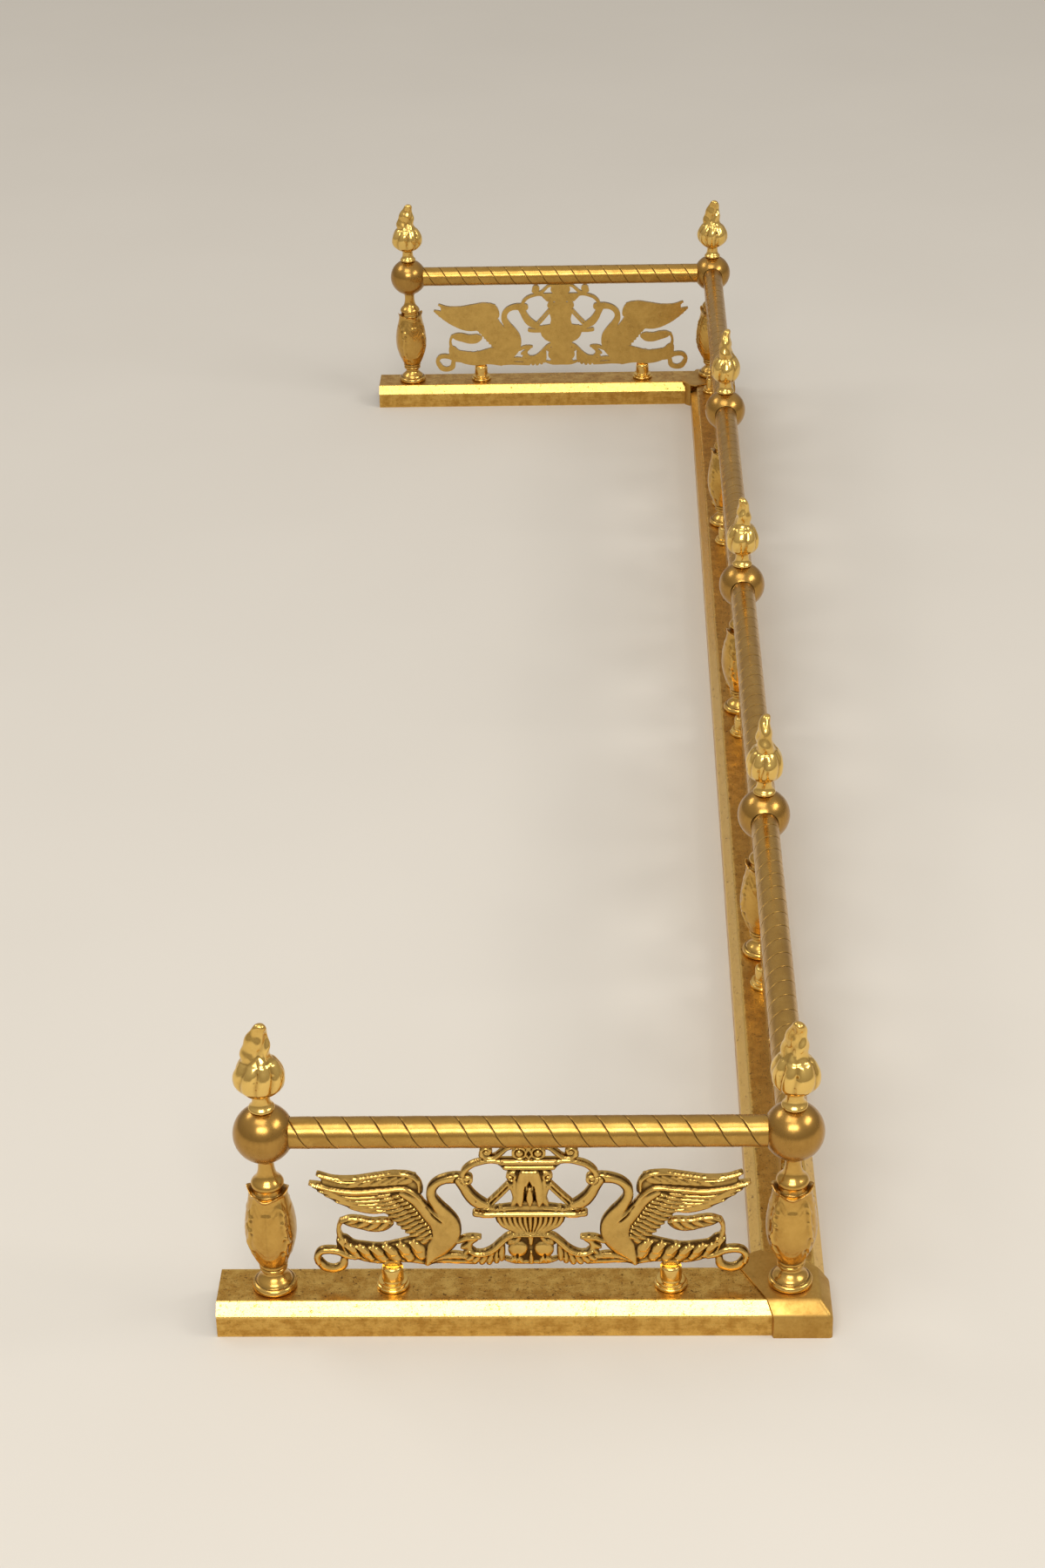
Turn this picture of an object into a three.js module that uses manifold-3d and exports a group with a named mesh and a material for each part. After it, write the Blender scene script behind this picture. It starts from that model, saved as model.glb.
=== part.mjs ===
// A brass fire fender that stands round three sides of a hearth, in millimetres, +Z up.
// X runs along the front, -Y faces the room, and the two returns run back in +Y.
// The origin is on the floor, under the middle of the fender's bounding box.
//
// A folded brass base carries seven posts. Each post is a baluster, a ball and a flame finial,
// drawn together by one long bolt from under the base. Rails join the balls, and under each
// rail a pierced casting of two swans and an urn stands on two turned studs.

import * as THREE from 'three';
import { mergeVertices } from 'three/addons/utils/BufferGeometryUtils.js';
import Module from 'manifold-3d';

const wasm = await Module();
wasm.setup();

// ---------------------------------------------------------------- driving dimensions

// Plan: distances between post axes, and how far the base runs on past the end posts.
const FRONT_BAYS = 4;
const FRONT_BAY = 376;
const RETURN_BAY = 310;
const RETURN_OVERHANG = 34;

// Clearance between pieces that seat on or in one another.
const SEAT_GAP = 0.3;

// Base: sheet brass folded to an inverted channel with both top edges chamfered.
const BASE_WIDTH = 44;
const BASE_HEIGHT = 22;
const BASE_WALL = 2;
const BASE_CHAMFER_ACROSS = 6.5;
const BASE_CHAMFER_DOWN = 7.5;

// Corner cap: a thin casting over each mitre, with straight slanting ends and a round lobe.
const CAP_RISE = 1.5;
const CAP_PROUD = 2.5;
const CAP_CHAMFER_ACROSS = 7.5;
const CAP_CHAMFER_DOWN = 8;
const CAP_OUTER_REACH = 8;
const CAP_INNER_REACH = 30.5;
const CAP_SHOULDER = 16;
const CAP_LOBE_RADIUS = 19.6;

// Corner plate: the steel angle inside the base that ties the mitre together. Its legs stop short
// of the nearest rivet head.
const PLATE_END_GAP = 5.5;
const PLATE_WIDTH = 26;
const PLATE_THICKNESS = 3;

// Posts.
const RAIL_AXIS_ABOVE_BASE = 111.6;
const BALL_RADIUS = 18.2;
const BALL_SEAT_RADIUS = 6;
const FOOT_RADIUS = 13.4;
const BODY_RADIUS = 15.7;
const CROWN_RADIUS = 12.4;
const BELL_RADIUS = 9;
const NECK_RADIUS = 4.8;
const LEAVES_ROUND = 4;
const LEAF_CURL = 1.1;
const FINIAL_HEIGHT = 59.1;
const COLLAR_RADIUS = 7.8;
const BULB_RADIUS = 14;
const BULB_FOLDS = 6;
const FOLD_DEPTH = 0.7;
const FLAME_RADIUS = 8.2;
const FLAME_SWAY = 2.2;

// Tie bolt, and the clearance round it in every bore.
const BOLT_RADIUS = 2.5;
const BOLT_CLEARANCE = 0.35;
const BOLT_HEAD_RADIUS = 5.6;
const BOLT_HEAD_HEIGHT = 4;
const THREAD_IN_FINIAL = 18;

// Rails: tubes that end inside sockets in the balls.
const RAIL_RADIUS = 9.5;
const RAIL_WALL = 2;
const BALL_WEB = 2;

// Studs: turned, riveted through the base, with a slot across the top.
const STUD_HEIGHT = 15;
const STUD_RADIUS = 6.5;
const STUD_FOOT_RADIUS = 10;
const STUD_FOOT_HEIGHT = 4.6;
const RIVET_RADIUS = 2;
const RIVET_HEAD_RADIUS = 4;
const RIVET_HEAD_HEIGHT = 1.6;

// Pierced castings: flat backed, tongued into the studs and pinned into the rail above.
const PLAQUE_THICKNESS = 5;
const PLAQUE_END_GAP = 8.8;
const TONGUE_WIDTH = 9;
const TONGUE_THICKNESS = 3;
const TONGUE_DEPTH = 3;
const PIN_RADIUS = 2;
const PIN_PAST_WALL = 1;

// Facets round a full circle.
const SIDES_ROUND = 16;
const SIDES_TURNED = 12;
const SIDES_STUD = 10;
const SIDES_SMALL = 8;
const SIDES_HEX = 6;

// ---------------------------------------------------------------- places that follow from them

const CORNER_X = (FRONT_BAYS * FRONT_BAY) / 2;
const RETURN_LENGTH = RETURN_BAY + RETURN_OVERHANG;
const CAP_HALF_WIDTH = BASE_WIDTH / 2 + CAP_PROUD;
const FRONT_AXIS_Y = -(RETURN_LENGTH - CAP_HALF_WIDTH) / 2;

const CAP_TOP = BASE_HEIGHT + CAP_RISE;
const PLATE_TOP = BASE_HEIGHT - BASE_WALL - SEAT_GAP;
const RAIL_AXIS_Z = BASE_HEIGHT + RAIL_AXIS_ABOVE_BASE;
const BALL_SEAT_Z = Math.sqrt(BALL_RADIUS ** 2 - BALL_SEAT_RADIUS ** 2);
const RAIL_END = RAIL_RADIUS + BALL_WEB;
const BORE_RADIUS = BOLT_RADIUS + BOLT_CLEARANCE;
const STUD_SEAT_Z = BASE_HEIGHT + SEAT_GAP;
const PLAQUE_SEAT_Z = STUD_SEAT_Z + STUD_HEIGHT + SEAT_GAP;
const PLAQUE_TOP_Z = RAIL_AXIS_Z - RAIL_RADIUS - SEAT_GAP;
const BALUSTER_CLEAR_RADIUS = BODY_RADIUS + PLAQUE_END_GAP;

// ---------------------------------------------------------------- finishes

const POLISHED = { color: 0xd9a64a, roughness: 0.22, metalness: 1 };
const SATIN = { color: 0xb98a3e, roughness: 0.42, metalness: 1 };
const CAST = { color: 0xc2943f, roughness: 0.34, metalness: 1 };
const SHEET = { color: 0xa87c38, roughness: 0.4, metalness: 1 };
const STEEL = { color: 0x77777a, roughness: 0.5, metalness: 1 };

// ---------------------------------------------------------------- solids and cuts

const X_AXIS = new THREE.Vector3(1, 0, 0);
const Y_AXIS = new THREE.Vector3(0, 1, 0);
const Z_AXIS = new THREE.Vector3(0, 0, 1);
const MERGE_DISTANCE = 1e-4;
const CUT_PAST = 1;

/** A closed geometry as a solid that can be joined and cut. */
function solidOf(geometry) {
  const bare = geometry.clone();
  bare.deleteAttribute('normal');
  bare.deleteAttribute('uv');
  const merged = mergeVertices(bare, MERGE_DISTANCE);
  const corners = merged.index.array;
  const kept = [];
  for (let i = 0; i < corners.length; i += 3) {
    const [a, b, c] = corners.subarray(i, i + 3);
    if (a !== b && b !== c && c !== a) kept.push(a, b, c);
  }
  return new wasm.Manifold(new wasm.Mesh({
    numProp: 3,
    vertProperties: new Float32Array(merged.attributes.position.array),
    triVerts: new Uint32Array(kept),
  }));
}

/** A solid back as a geometry, flat shaded. */
function geometryOf(solid) {
  const { vertProperties, triVerts } = solid.getMesh();
  const geometry = new THREE.BufferGeometry();
  geometry.setAttribute('position', new THREE.BufferAttribute(vertProperties, 3));
  geometry.setIndex(new THREE.BufferAttribute(triVerts, 1));
  const flat = geometry.toNonIndexed();
  flat.computeVertexNormals();
  return flat;
}

/** An upright cylinder between two heights. */
function upright(radius, bottom, top, sides, x = 0, y = 0) {
  const geometry = new THREE.CylinderGeometry(radius, radius, top - bottom, sides);
  geometry.rotateX(Math.PI / 2);
  geometry.translate(x, y, (bottom + top) / 2);
  return geometry;
}

/** A box between two corners. */
function block([x0, y0, z0], [x1, y1, z1]) {
  const geometry = new THREE.BoxGeometry(x1 - x0, y1 - y0, z1 - z0);
  geometry.translate((x0 + x1) / 2, (y0 + y1) / 2, (z0 + z1) / 2);
  return geometry;
}

/** A turned piece about Z. Its [radius, height] points rise on the outside of the metal. */
function turned(points, sides) {
  const profile = points.map(([radius, height]) => new THREE.Vector2(radius, height));
  const geometry = new THREE.LatheGeometry(profile, sides);
  geometry.rotateX(Math.PI / 2);
  return geometry;
}

/** A straight prism of a closed outline, standing on z = 0. */
function prism(points, height) {
  const shape = new THREE.Shape(points.map(([x, y]) => new THREE.Vector2(x, y)));
  return new THREE.ExtrudeGeometry(shape, { depth: height, bevelEnabled: false });
}

/** A prism whose outline is [across, up], laid along X from one end to the other. */
function barAlongX(points, from, to) {
  const geometry = prism(points, to - from);
  geometry.applyMatrix4(new THREE.Matrix4().makeBasis(Y_AXIS, Z_AXIS, X_AXIS));
  geometry.translate(from, 0, 0);
  return geometry;
}

/** The same points on the other side of the middle, in the order that carries an outline on. */
function mirrored(points) {
  return points.map(([x, y]) => [-x, y]).reverse();
}

function mesh(name, geometry, finish) {
  const made = new THREE.Mesh(geometry, new THREE.MeshStandardMaterial(finish));
  made.name = name;
  return made;
}

// ---------------------------------------------------------------- base

/** One side of the channel from the floor to the top, moved `inset` into the sheet. */
function channelSide(inset) {
  const lean = Math.atan2(BASE_CHAMFER_ACROSS, BASE_CHAMFER_DOWN);
  const side = BASE_WIDTH / 2 - inset;
  const shoulder = BASE_HEIGHT - BASE_CHAMFER_DOWN - inset * Math.tan(lean / 2);
  const flat = BASE_WIDTH / 2 - BASE_CHAMFER_ACROSS - inset * Math.tan(Math.PI / 4 - lean / 2);
  return [[side, 0], [side, shoulder], [flat, BASE_HEIGHT - inset]];
}

/**
 * One length of base along X, its room side at -Y. A mitred end follows the 45 degree joint
 * through the corner post's axis. `holes` are [x, radius] along the middle of the top.
 */
function baseLength(from, to, mitredStart, mitredEnd, holes) {
  const outer = channelSide(0);
  const inner = channelSide(BASE_WALL);
  const section = [...outer, ...mirrored(outer), ...mirrored(inner).reverse(), ...inner.reverse()];
  const geometry = barAlongX(section, from, to);
  const place = geometry.attributes.position;
  const middle = (from + to) / 2;
  for (let i = 0; i < place.count; i += 1) {
    const atStart = place.getX(i) < middle;
    if (atStart && mitredStart) place.setX(i, from + place.getY(i) + SEAT_GAP / 2);
    if (!atStart && mitredEnd) place.setX(i, to - place.getY(i) - SEAT_GAP / 2);
  }
  let solid = solidOf(geometry);
  for (const [x, radius] of holes) {
    const drill = upright(radius, BASE_HEIGHT / 2, BASE_HEIGHT + CUT_PAST, SIDES_SMALL, x);
    solid = solid.subtract(solidOf(drill));
  }
  return geometryOf(solid);
}

// ---------------------------------------------------------------- corner cap and plate

/** A hipped square corner: all that lies under the chamfered roofs of both arms. */
function hippedCorner(half, chamferAcross, chamferDown, top, bottom) {
  const reach = 3 * CAP_INNER_REACH;
  const roof = [
    [-half, bottom],
    [reach, bottom],
    [reach, top],
    [-half + chamferAcross, top],
    [-half, top - chamferDown],
  ];
  const overFront = barAlongX(roof, -reach, reach);
  const overReturn = overFront.clone().rotateZ(-Math.PI / 2);
  return solidOf(overFront).intersect(solidOf(overReturn));
}

/** The cap's plan, for arms that run along +X and +Y from the post's axis. */
function capPlan() {
  const halfChord = (CAP_INNER_REACH - CAP_SHOULDER) / Math.SQRT2;
  const chordToCentre = Math.sqrt(CAP_LOBE_RADIUS ** 2 - halfChord ** 2);
  const centre = (CAP_INNER_REACH + CAP_SHOULDER) / 2 - chordToCentre / Math.SQRT2;
  const first = Math.atan2(CAP_SHOULDER - centre, CAP_INNER_REACH - centre);
  const steps = SIDES_SMALL;
  const lobe = [];
  for (let i = 0; i <= steps; i += 1) {
    const angle = first + ((Math.PI / 2 - 2 * first) * i) / steps;
    lobe.push([
      centre + CAP_LOBE_RADIUS * Math.cos(angle),
      centre + CAP_LOBE_RADIUS * Math.sin(angle),
    ]);
  }
  return [
    [-CAP_HALF_WIDTH, -CAP_HALF_WIDTH],
    [CAP_OUTER_REACH, -CAP_HALF_WIDTH],
    ...lobe,
    [-CAP_HALF_WIDTH, CAP_OUTER_REACH],
  ];
}

/** The cap: its plan under a hipped roof, hollowed where the two arms of the base run in. */
function cornerCap() {
  const hollowHalf = BASE_WIDTH / 2 + SEAT_GAP;
  const beyond = 3 * CAP_INNER_REACH;
  const insideCorner = block(
    [hollowHalf, hollowHalf, -2 * CUT_PAST],
    [beyond + CUT_PAST, beyond + CUT_PAST, CAP_TOP],
  );
  const hollow = hippedCorner(
    hollowHalf,
    BASE_CHAMFER_ACROSS,
    BASE_CHAMFER_DOWN,
    BASE_HEIGHT + SEAT_GAP,
    -CUT_PAST,
  ).subtract(solidOf(insideCorner));
  const roof = hippedCorner(CAP_HALF_WIDTH, CAP_CHAMFER_ACROSS, CAP_CHAMFER_DOWN, CAP_TOP, 0);
  const drill = upright(BORE_RADIUS, BASE_HEIGHT, CAP_TOP + CUT_PAST, SIDES_SMALL);
  const solid = solidOf(prism(capPlan(), CAP_TOP + CUT_PAST))
    .intersect(roof)
    .subtract(hollow)
    .subtract(solidOf(drill));
  return geometryOf(solid);
}

/** The L-shaped steel plate under both tops at a corner, from the post's axis to `leg`. */
function cornerPlate(leg) {
  const half = PLATE_WIDTH / 2;
  const plan = [
    [-half, -half],
    [leg, -half],
    [leg, half],
    [half, half],
    [half, leg],
    [-half, leg],
  ];
  const plate = prism(plan, PLATE_THICKNESS);
  plate.translate(0, 0, PLATE_TOP - PLATE_THICKNESS);
  const drill = upright(BORE_RADIUS, 0, BASE_HEIGHT, SIDES_SMALL);
  return geometryOf(solidOf(plate).subtract(solidOf(drill)));
}

// ---------------------------------------------------------------- posts

/** Moves the outside of a turned piece: `move` gives its new [x, y] from radius, height, angle. */
function carve(geometry, move) {
  const place = geometry.attributes.position;
  for (let i = 0; i < place.count; i += 1) {
    const x = place.getX(i);
    const y = place.getY(i);
    const radius = Math.hypot(x, y);
    if (radius > BORE_RADIUS + MERGE_DISTANCE) {
      const [newX, newY] = move(radius, place.getZ(i), Math.atan2(y, x));
      place.setXY(i, newX, newY);
    }
  }
  return geometry;
}

/** A baluster from its foot at `foot` to the ball's lower seat, bored for the bolt. */
function baluster(foot) {
  const drawnHeight = 93.7;
  const crownHeight = 67;
  const crownSpread = 9;
  const top = RAIL_AXIS_Z - BALL_SEAT_Z - SEAT_GAP;
  const bottom = foot + SEAT_GAP;
  const rise = (top - bottom) / drawnHeight;
  const outside = [
    [FOOT_RADIUS - 0.8, 0],
    [FOOT_RADIUS, 1.4],
    [FOOT_RADIUS - 0.4, 4.2],
    [FOOT_RADIUS - 3.4, 5.6],
    [FOOT_RADIUS - 4.6, 8.6],
    [NECK_RADIUS + 1.4, 11],
    [BODY_RADIUS - 7.2, 13.4],
    [BODY_RADIUS - 6.9, 17],
    [BODY_RADIUS - 2.2, 30],
    [BODY_RADIUS, 42],
    [BODY_RADIUS - 1, 54],
    [CROWN_RADIUS, crownHeight],
    [BELL_RADIUS, 70],
    [BELL_RADIUS, 76],
    [NECK_RADIUS, 86],
    [BALL_SEAT_RADIUS - SEAT_GAP, drawnHeight],
  ];
  const bored = [[BORE_RADIUS, 0], ...outside, [BORE_RADIUS, drawnHeight], [BORE_RADIUS, 0]];
  const geometry = turned(bored, SIDES_TURNED);
  carve(geometry, (radius, height, angle) => {
    const offCrown = (height - crownHeight) / crownSpread;
    const curl = LEAF_CURL * Math.exp(-offCrown * offCrown);
    const carved = radius + curl * Math.cos(LEAVES_ROUND * angle);
    return [carved * Math.cos(angle), carved * Math.sin(angle)];
  });
  geometry.scale(1, 1, rise);
  geometry.translate(0, 0, bottom);
  return geometry;
}

/** A ball about its own centre, bored for the bolt, with a socket towards each rail. */
function ball(towardsRails) {
  const seatAngle = Math.acos(BALL_SEAT_RADIUS / BALL_RADIUS);
  const steps = 7;
  const outside = [];
  for (let i = 0; i <= steps; i += 1) {
    const angle = seatAngle * ((2 * i) / steps - 1);
    outside.push([BALL_RADIUS * Math.cos(angle), BALL_RADIUS * Math.sin(angle)]);
  }
  const bored = [
    [BORE_RADIUS, -BALL_SEAT_Z],
    ...outside,
    [BORE_RADIUS, BALL_SEAT_Z],
    [BORE_RADIUS, -BALL_SEAT_Z],
  ];
  let solid = solidOf(turned(bored, SIDES_TURNED));
  for (const angle of towardsRails) {
    const depth = BALL_RADIUS - RAIL_END + SEAT_GAP + CUT_PAST;
    const socket = new THREE.CylinderGeometry(
      RAIL_RADIUS + SEAT_GAP,
      RAIL_RADIUS + SEAT_GAP,
      depth,
      SIDES_ROUND,
    );
    socket.rotateZ(-Math.PI / 2);
    socket.translate(RAIL_END - SEAT_GAP + depth / 2, 0, 0);
    socket.rotateZ(angle);
    solid = solid.subtract(solidOf(socket));
  }
  return geometryOf(solid);
}

/** A flame finial standing on z = 0: collar, neck, folded bulb and swaying flame. */
function finial() {
  const drawnHeight = 59.1;
  const rise = FINIAL_HEIGHT / drawnHeight;
  const bulbMiddle = 20 * rise;
  const bulbReach = 15 * rise;
  const flameFoot = 33.5 * rise;
  const threadRoom = THREAD_IN_FINIAL + SEAT_GAP;
  const outside = [
    [COLLAR_RADIUS - 0.8, 0],
    [COLLAR_RADIUS, 2.4],
    [COLLAR_RADIUS - 2.5, 7.2],
    [BULB_RADIUS - 5.8, 9.8],
    [BULB_RADIUS - 1.4, 15.5],
    [BULB_RADIUS, 21.5],
    [BULB_RADIUS - 2.4, 28],
    [FLAME_RADIUS - 0.6, 33.5],
    [FLAME_RADIUS, 38.5],
    [FLAME_RADIUS - 1, 44.5],
    [FLAME_RADIUS - 3.4, 50.5],
    [FLAME_RADIUS - 5, 55.5],
    [0, drawnHeight],
  ];
  const raised = outside.map(([radius, height]) => [radius, height * rise]);
  const bored = [[0, threadRoom], [BORE_RADIUS, threadRoom], [BORE_RADIUS, 0], ...raised];
  return carve(turned(bored, SIDES_TURNED), (radius, height, angle) => {
    const bulb = Math.max(0, 1 - Math.abs(height - bulbMiddle) / bulbReach);
    const flame = Math.max(0, (height - flameFoot) / (FINIAL_HEIGHT - flameFoot));
    const folded = radius + FOLD_DEPTH * Math.min(1, 2 * bulb) * Math.cos(BULB_FOLDS * angle);
    const sway = FLAME_SWAY * Math.sin(2 * Math.PI * flame);
    return [folded * Math.cos(angle) + sway, folded * Math.sin(angle)];
  });
}

/** The tie bolt: its head is under `clamped`, and its thread ends inside the finial. */
function tieBolt(clamped) {
  const headTop = clamped - SEAT_GAP;
  const end = RAIL_AXIS_Z + BALL_SEAT_Z + SEAT_GAP + THREAD_IN_FINIAL;
  const head = upright(BOLT_HEAD_RADIUS, headTop - BOLT_HEAD_HEIGHT, headTop, SIDES_HEX);
  const shank = upright(BOLT_RADIUS, headTop - BOLT_HEAD_HEIGHT / 2, end, SIDES_SMALL);
  return geometryOf(solidOf(head).add(solidOf(shank)));
}

// ---------------------------------------------------------------- rails

/** A rail across a bay, its middle over x = 0, drilled below for the casting's pin. */
function rail(bay) {
  const end = bay / 2 - RAIL_END;
  const inside = RAIL_RADIUS - RAIL_WALL;
  const tube = turned([
    [inside, -end],
    [RAIL_RADIUS, -end],
    [RAIL_RADIUS, end],
    [inside, end],
    [inside, -end],
  ], SIDES_ROUND);
  tube.rotateY(Math.PI / 2);
  const drill = upright(PIN_RADIUS + SEAT_GAP, -RAIL_RADIUS - CUT_PAST, 0, SIDES_SMALL);
  const geometry = geometryOf(solidOf(tube).subtract(solidOf(drill)));
  geometry.translate(0, 0, RAIL_AXIS_Z);
  return geometry;
}

// ---------------------------------------------------------------- studs

/** A turned stud standing on z = 0, its rivet through the base and its slot along X. */
function stud() {
  const headTop = -BASE_WALL - 2 * SEAT_GAP;
  const profile = [
    [0, headTop - RIVET_HEAD_HEIGHT],
    [RIVET_HEAD_RADIUS, headTop - RIVET_HEAD_HEIGHT],
    [RIVET_HEAD_RADIUS, headTop],
    [RIVET_RADIUS, headTop],
    [RIVET_RADIUS, 0],
    [STUD_FOOT_RADIUS, 0],
    [STUD_FOOT_RADIUS, STUD_FOOT_HEIGHT - 1.2],
    [STUD_FOOT_RADIUS - 1.4, STUD_FOOT_HEIGHT],
    [STUD_RADIUS, STUD_FOOT_HEIGHT],
    [STUD_RADIUS, STUD_HEIGHT],
    [0, STUD_HEIGHT],
  ];
  const slot = block(
    [-STUD_FOOT_RADIUS, -TONGUE_THICKNESS / 2 - SEAT_GAP, STUD_HEIGHT - TONGUE_DEPTH],
    [STUD_FOOT_RADIUS, TONGUE_THICKNESS / 2 + SEAT_GAP, STUD_HEIGHT + CUT_PAST],
  );
  return geometryOf(solidOf(turned(profile, SIDES_STUD)).subtract(solidOf(slot)));
}

// ---------------------------------------------------------------- pierced castings

// The ornament is drawn in millimetres from its own middle and foot: its left half's edge, from
// the top round to the foot, and the openings pierced in that half. Each casting stretches it to
// fill its bay. The two points at a height of 0 are a flat foot, with the stud under its middle.
const UPPER_EDGE = [
  // lug, top scroll and its outer volute
  [-3, 86.5], [-10.5, 86.4], [-16, 83.8], [-20, 80.4], [-21.5, 85], [-26, 86.4], [-29.4, 82.5],
  // handle, then the back of the swan's neck down to the wing
  [-27.5, 77.2], [-35.5, 73.6], [-40.4, 67.2], [-49.7, 65.6], [-56.7, 62.4], [-61.1, 57],
  [-61.2, 50], [-59.4, 43],
  // leading edges and tips of the two wings, and the quills below
  [-62, 43.6], [-65, 53], [-64.8, 61.4], [-68.5, 65.6], [-78.7, 67.6], [-91.5, 66], [-104.5, 63.9],
  [-117.3, 64.3], [-126.2, 67], [-125, 63], [-131.2, 61.2], [-122, 50.5], [-107, 41], [-86.5, 38],
  // the curled leaf and the outside of the tail
  [-81, 32.6], [-95.4, 32.8], [-102.2, 34.6], [-109.1, 35], [-113.8, 32.4], [-116.5, 22],
  [-116.8, 12.5],
];

const RETURN_ORNAMENT = {
  lowerEdge: [
    // the tail's loop
    [-123.8, 12.6], [-129.6, 9.4], [-131, 3.6], [-127.6, -2.6], [-121, -6.2], [-113.4, -5.2],
    [-109.6, 4.6],
    // the underside of the tail with its flat foot on the stud, and the ground line
    [-98, 1.8], [-90, 0], [-78, 0], [-70, 1], [-62, -0.6], [-50, 0.8], [-34, -0.5],
  ],
  extraOpenings: [],
};

const FRONT_ORNAMENT = {
  lowerEdge: [
    // the tail's loop runs on into a leaf and an end scroll
    [-123.8, 12.6], [-131, 13], [-137, 20.5], [-145, 26.5], [-153.5, 25.5], [-146.5, 20.5],
    [-143.5, 14.6], [-150, 17.6], [-158, 16.4], [-163, 10], [-161.6, 3.4], [-153, 0], [-135, 0],
    [-128, -2.4], [-121, -6.2], [-113.4, -5.2], [-109.6, 4.6],
    [-98, 1.8], [-89.5, 0.4], [-75.6, 1.2], [-62, -0.6], [-50, 0.8], [-34, -0.5],
  ],
  extraOpenings: [[[-157, 6.2], [-151.5, 5], [-149.6, 9], [-153, 12.4], [-157.4, 10.6]]],
};

const OPENINGS = [
  // under the handle, over the swan's head
  [
    [-14.6, 74.2], [-27.5, 73.6], [-33.8, 70.4], [-34, 62.5], [-36.5, 57.5], [-32.5, 51.3],
    [-24.5, 46], [-12.2, 59.5], [-13.4, 64], [-14, 69.4],
  ],
  // between the strut and the urn
  [[-9.8, 55.5], [-18.8, 43.2], [-9, 43.4]],
  // the curve of the neck, the breast, the acanthus, the foot scroll, the bowl and the dish
  [
    [-43.5, 59.2], [-48.2, 59.9], [-53, 58.2], [-55.4, 54], [-55, 48.7], [-49.4, 42.4], [-44.4, 36],
    [-41.7, 26], [-43.2, 18.4], [-29.8, 20.8], [-32.6, 14.4], [-33.4, 8.6], [-25.1, 8.8],
    [-19, 14.6], [-13, 21.5], [-9, 22.8], [-13, 25], [-18, 29.5], [-20.8, 34.8], [-31.6, 34.8],
    [-33.8, 40.2], [-38, 47.6],
  ],
  // between the tail, the curled leaf and the wing
  [
    [-111, 29.4], [-103, 26], [-94, 24], [-87, 25], [-80.4, 28.6], [-71.5, 20.8], [-80.3, 16.6],
    [-89.1, 14.4], [-100.3, 15.4], [-107, 17.4], [-111.2, 23],
  ],
  // the eye of the tail's loop
  [[-125.8, 4.4], [-123.6, 2], [-119, 2], [-116.8, 4.4], [-119, 6.8], [-123.6, 6.8]],
  // beside the fruit, and under the top scroll
  [[-15.8, 3.5], [-14.5, 11], [-11, 15.6], [-13.6, 10.4]],
  [[-10.6, 78.4], [-17, 78.4], [-13.5, 82], [-10.2, 83.4]],
];

/** How far the drawn ornament is stretched to fill a bay between two balusters. */
function stretchFor(bay, ornament) {
  const drawn = [...UPPER_EDGE, ...ornament.lowerEdge];
  const drawnHalfLength = Math.max(...drawn.map(([x]) => -x));
  return (bay / 2 - BALUSTER_CLEAR_RADIUS) / drawnHalfLength;
}

/** The studs of one bay, as [suffix, x]. */
function studPlaces(middle, bay, ornament) {
  const [[start], [end]] = ornament.lowerEdge.filter(([, y]) => y === 0);
  const offset = (-(start + end) / 2) * stretchFor(bay, ornament);
  return [['a', middle - offset], ['b', middle + offset]];
}

/** How far one leg of a corner plate reaches from the post's axis into a bay. */
function plateReach(bay, ornament) {
  const [[, firstStud]] = studPlaces(bay / 2, bay, ornament);
  return firstStud - RIVET_HEAD_RADIUS - PLATE_END_GAP;
}

/** A casting along X: the pierced ornament, a tongue in each stud and a pin in the rail. */
function plaque(bay, ornament) {
  const stretch = stretchFor(bay, ornament);
  const drawnHeight = Math.max(...UPPER_EDGE.map(([, y]) => y));
  const lift = (PLAQUE_TOP_Z - PLAQUE_SEAT_Z) / drawnHeight;
  const fitted = (points) => points.map(([x, y]) => new THREE.Vector2(x * stretch, y * lift));
  const left = [...UPPER_EDGE, ...ornament.lowerEdge];
  const shape = new THREE.Shape(fitted([...left, ...mirrored(left)]));
  for (const opening of [...OPENINGS, ...ornament.extraOpenings]) {
    shape.holes.push(new THREE.Path(fitted(opening)), new THREE.Path(fitted(mirrored(opening))));
  }
  const sheet = new THREE.ExtrudeGeometry(shape, { depth: PLAQUE_THICKNESS, bevelEnabled: false });
  sheet.applyMatrix4(new THREE.Matrix4().makeBasis(X_AXIS, Z_AXIS, Y_AXIS.clone().negate()));
  sheet.translate(0, PLAQUE_THICKNESS / 2, PLAQUE_SEAT_Z);
  let solid = solidOf(sheet);
  for (const [, x] of studPlaces(0, bay, ornament)) {
    const tongue = block(
      [x - TONGUE_WIDTH / 2, -TONGUE_THICKNESS / 2, PLAQUE_SEAT_Z - TONGUE_DEPTH],
      [x + TONGUE_WIDTH / 2, TONGUE_THICKNESS / 2, PLAQUE_SEAT_Z + TONGUE_DEPTH],
    );
    solid = solid.add(solidOf(tongue));
  }
  const pinTop = PLAQUE_TOP_Z + SEAT_GAP + RAIL_WALL + PIN_PAST_WALL;
  const pin = upright(PIN_RADIUS, PLAQUE_TOP_Z - PIN_RADIUS, pinTop, SIDES_SMALL);
  return geometryOf(solid.add(solidOf(pin)));
}

// ---------------------------------------------------------------- assembly

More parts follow.
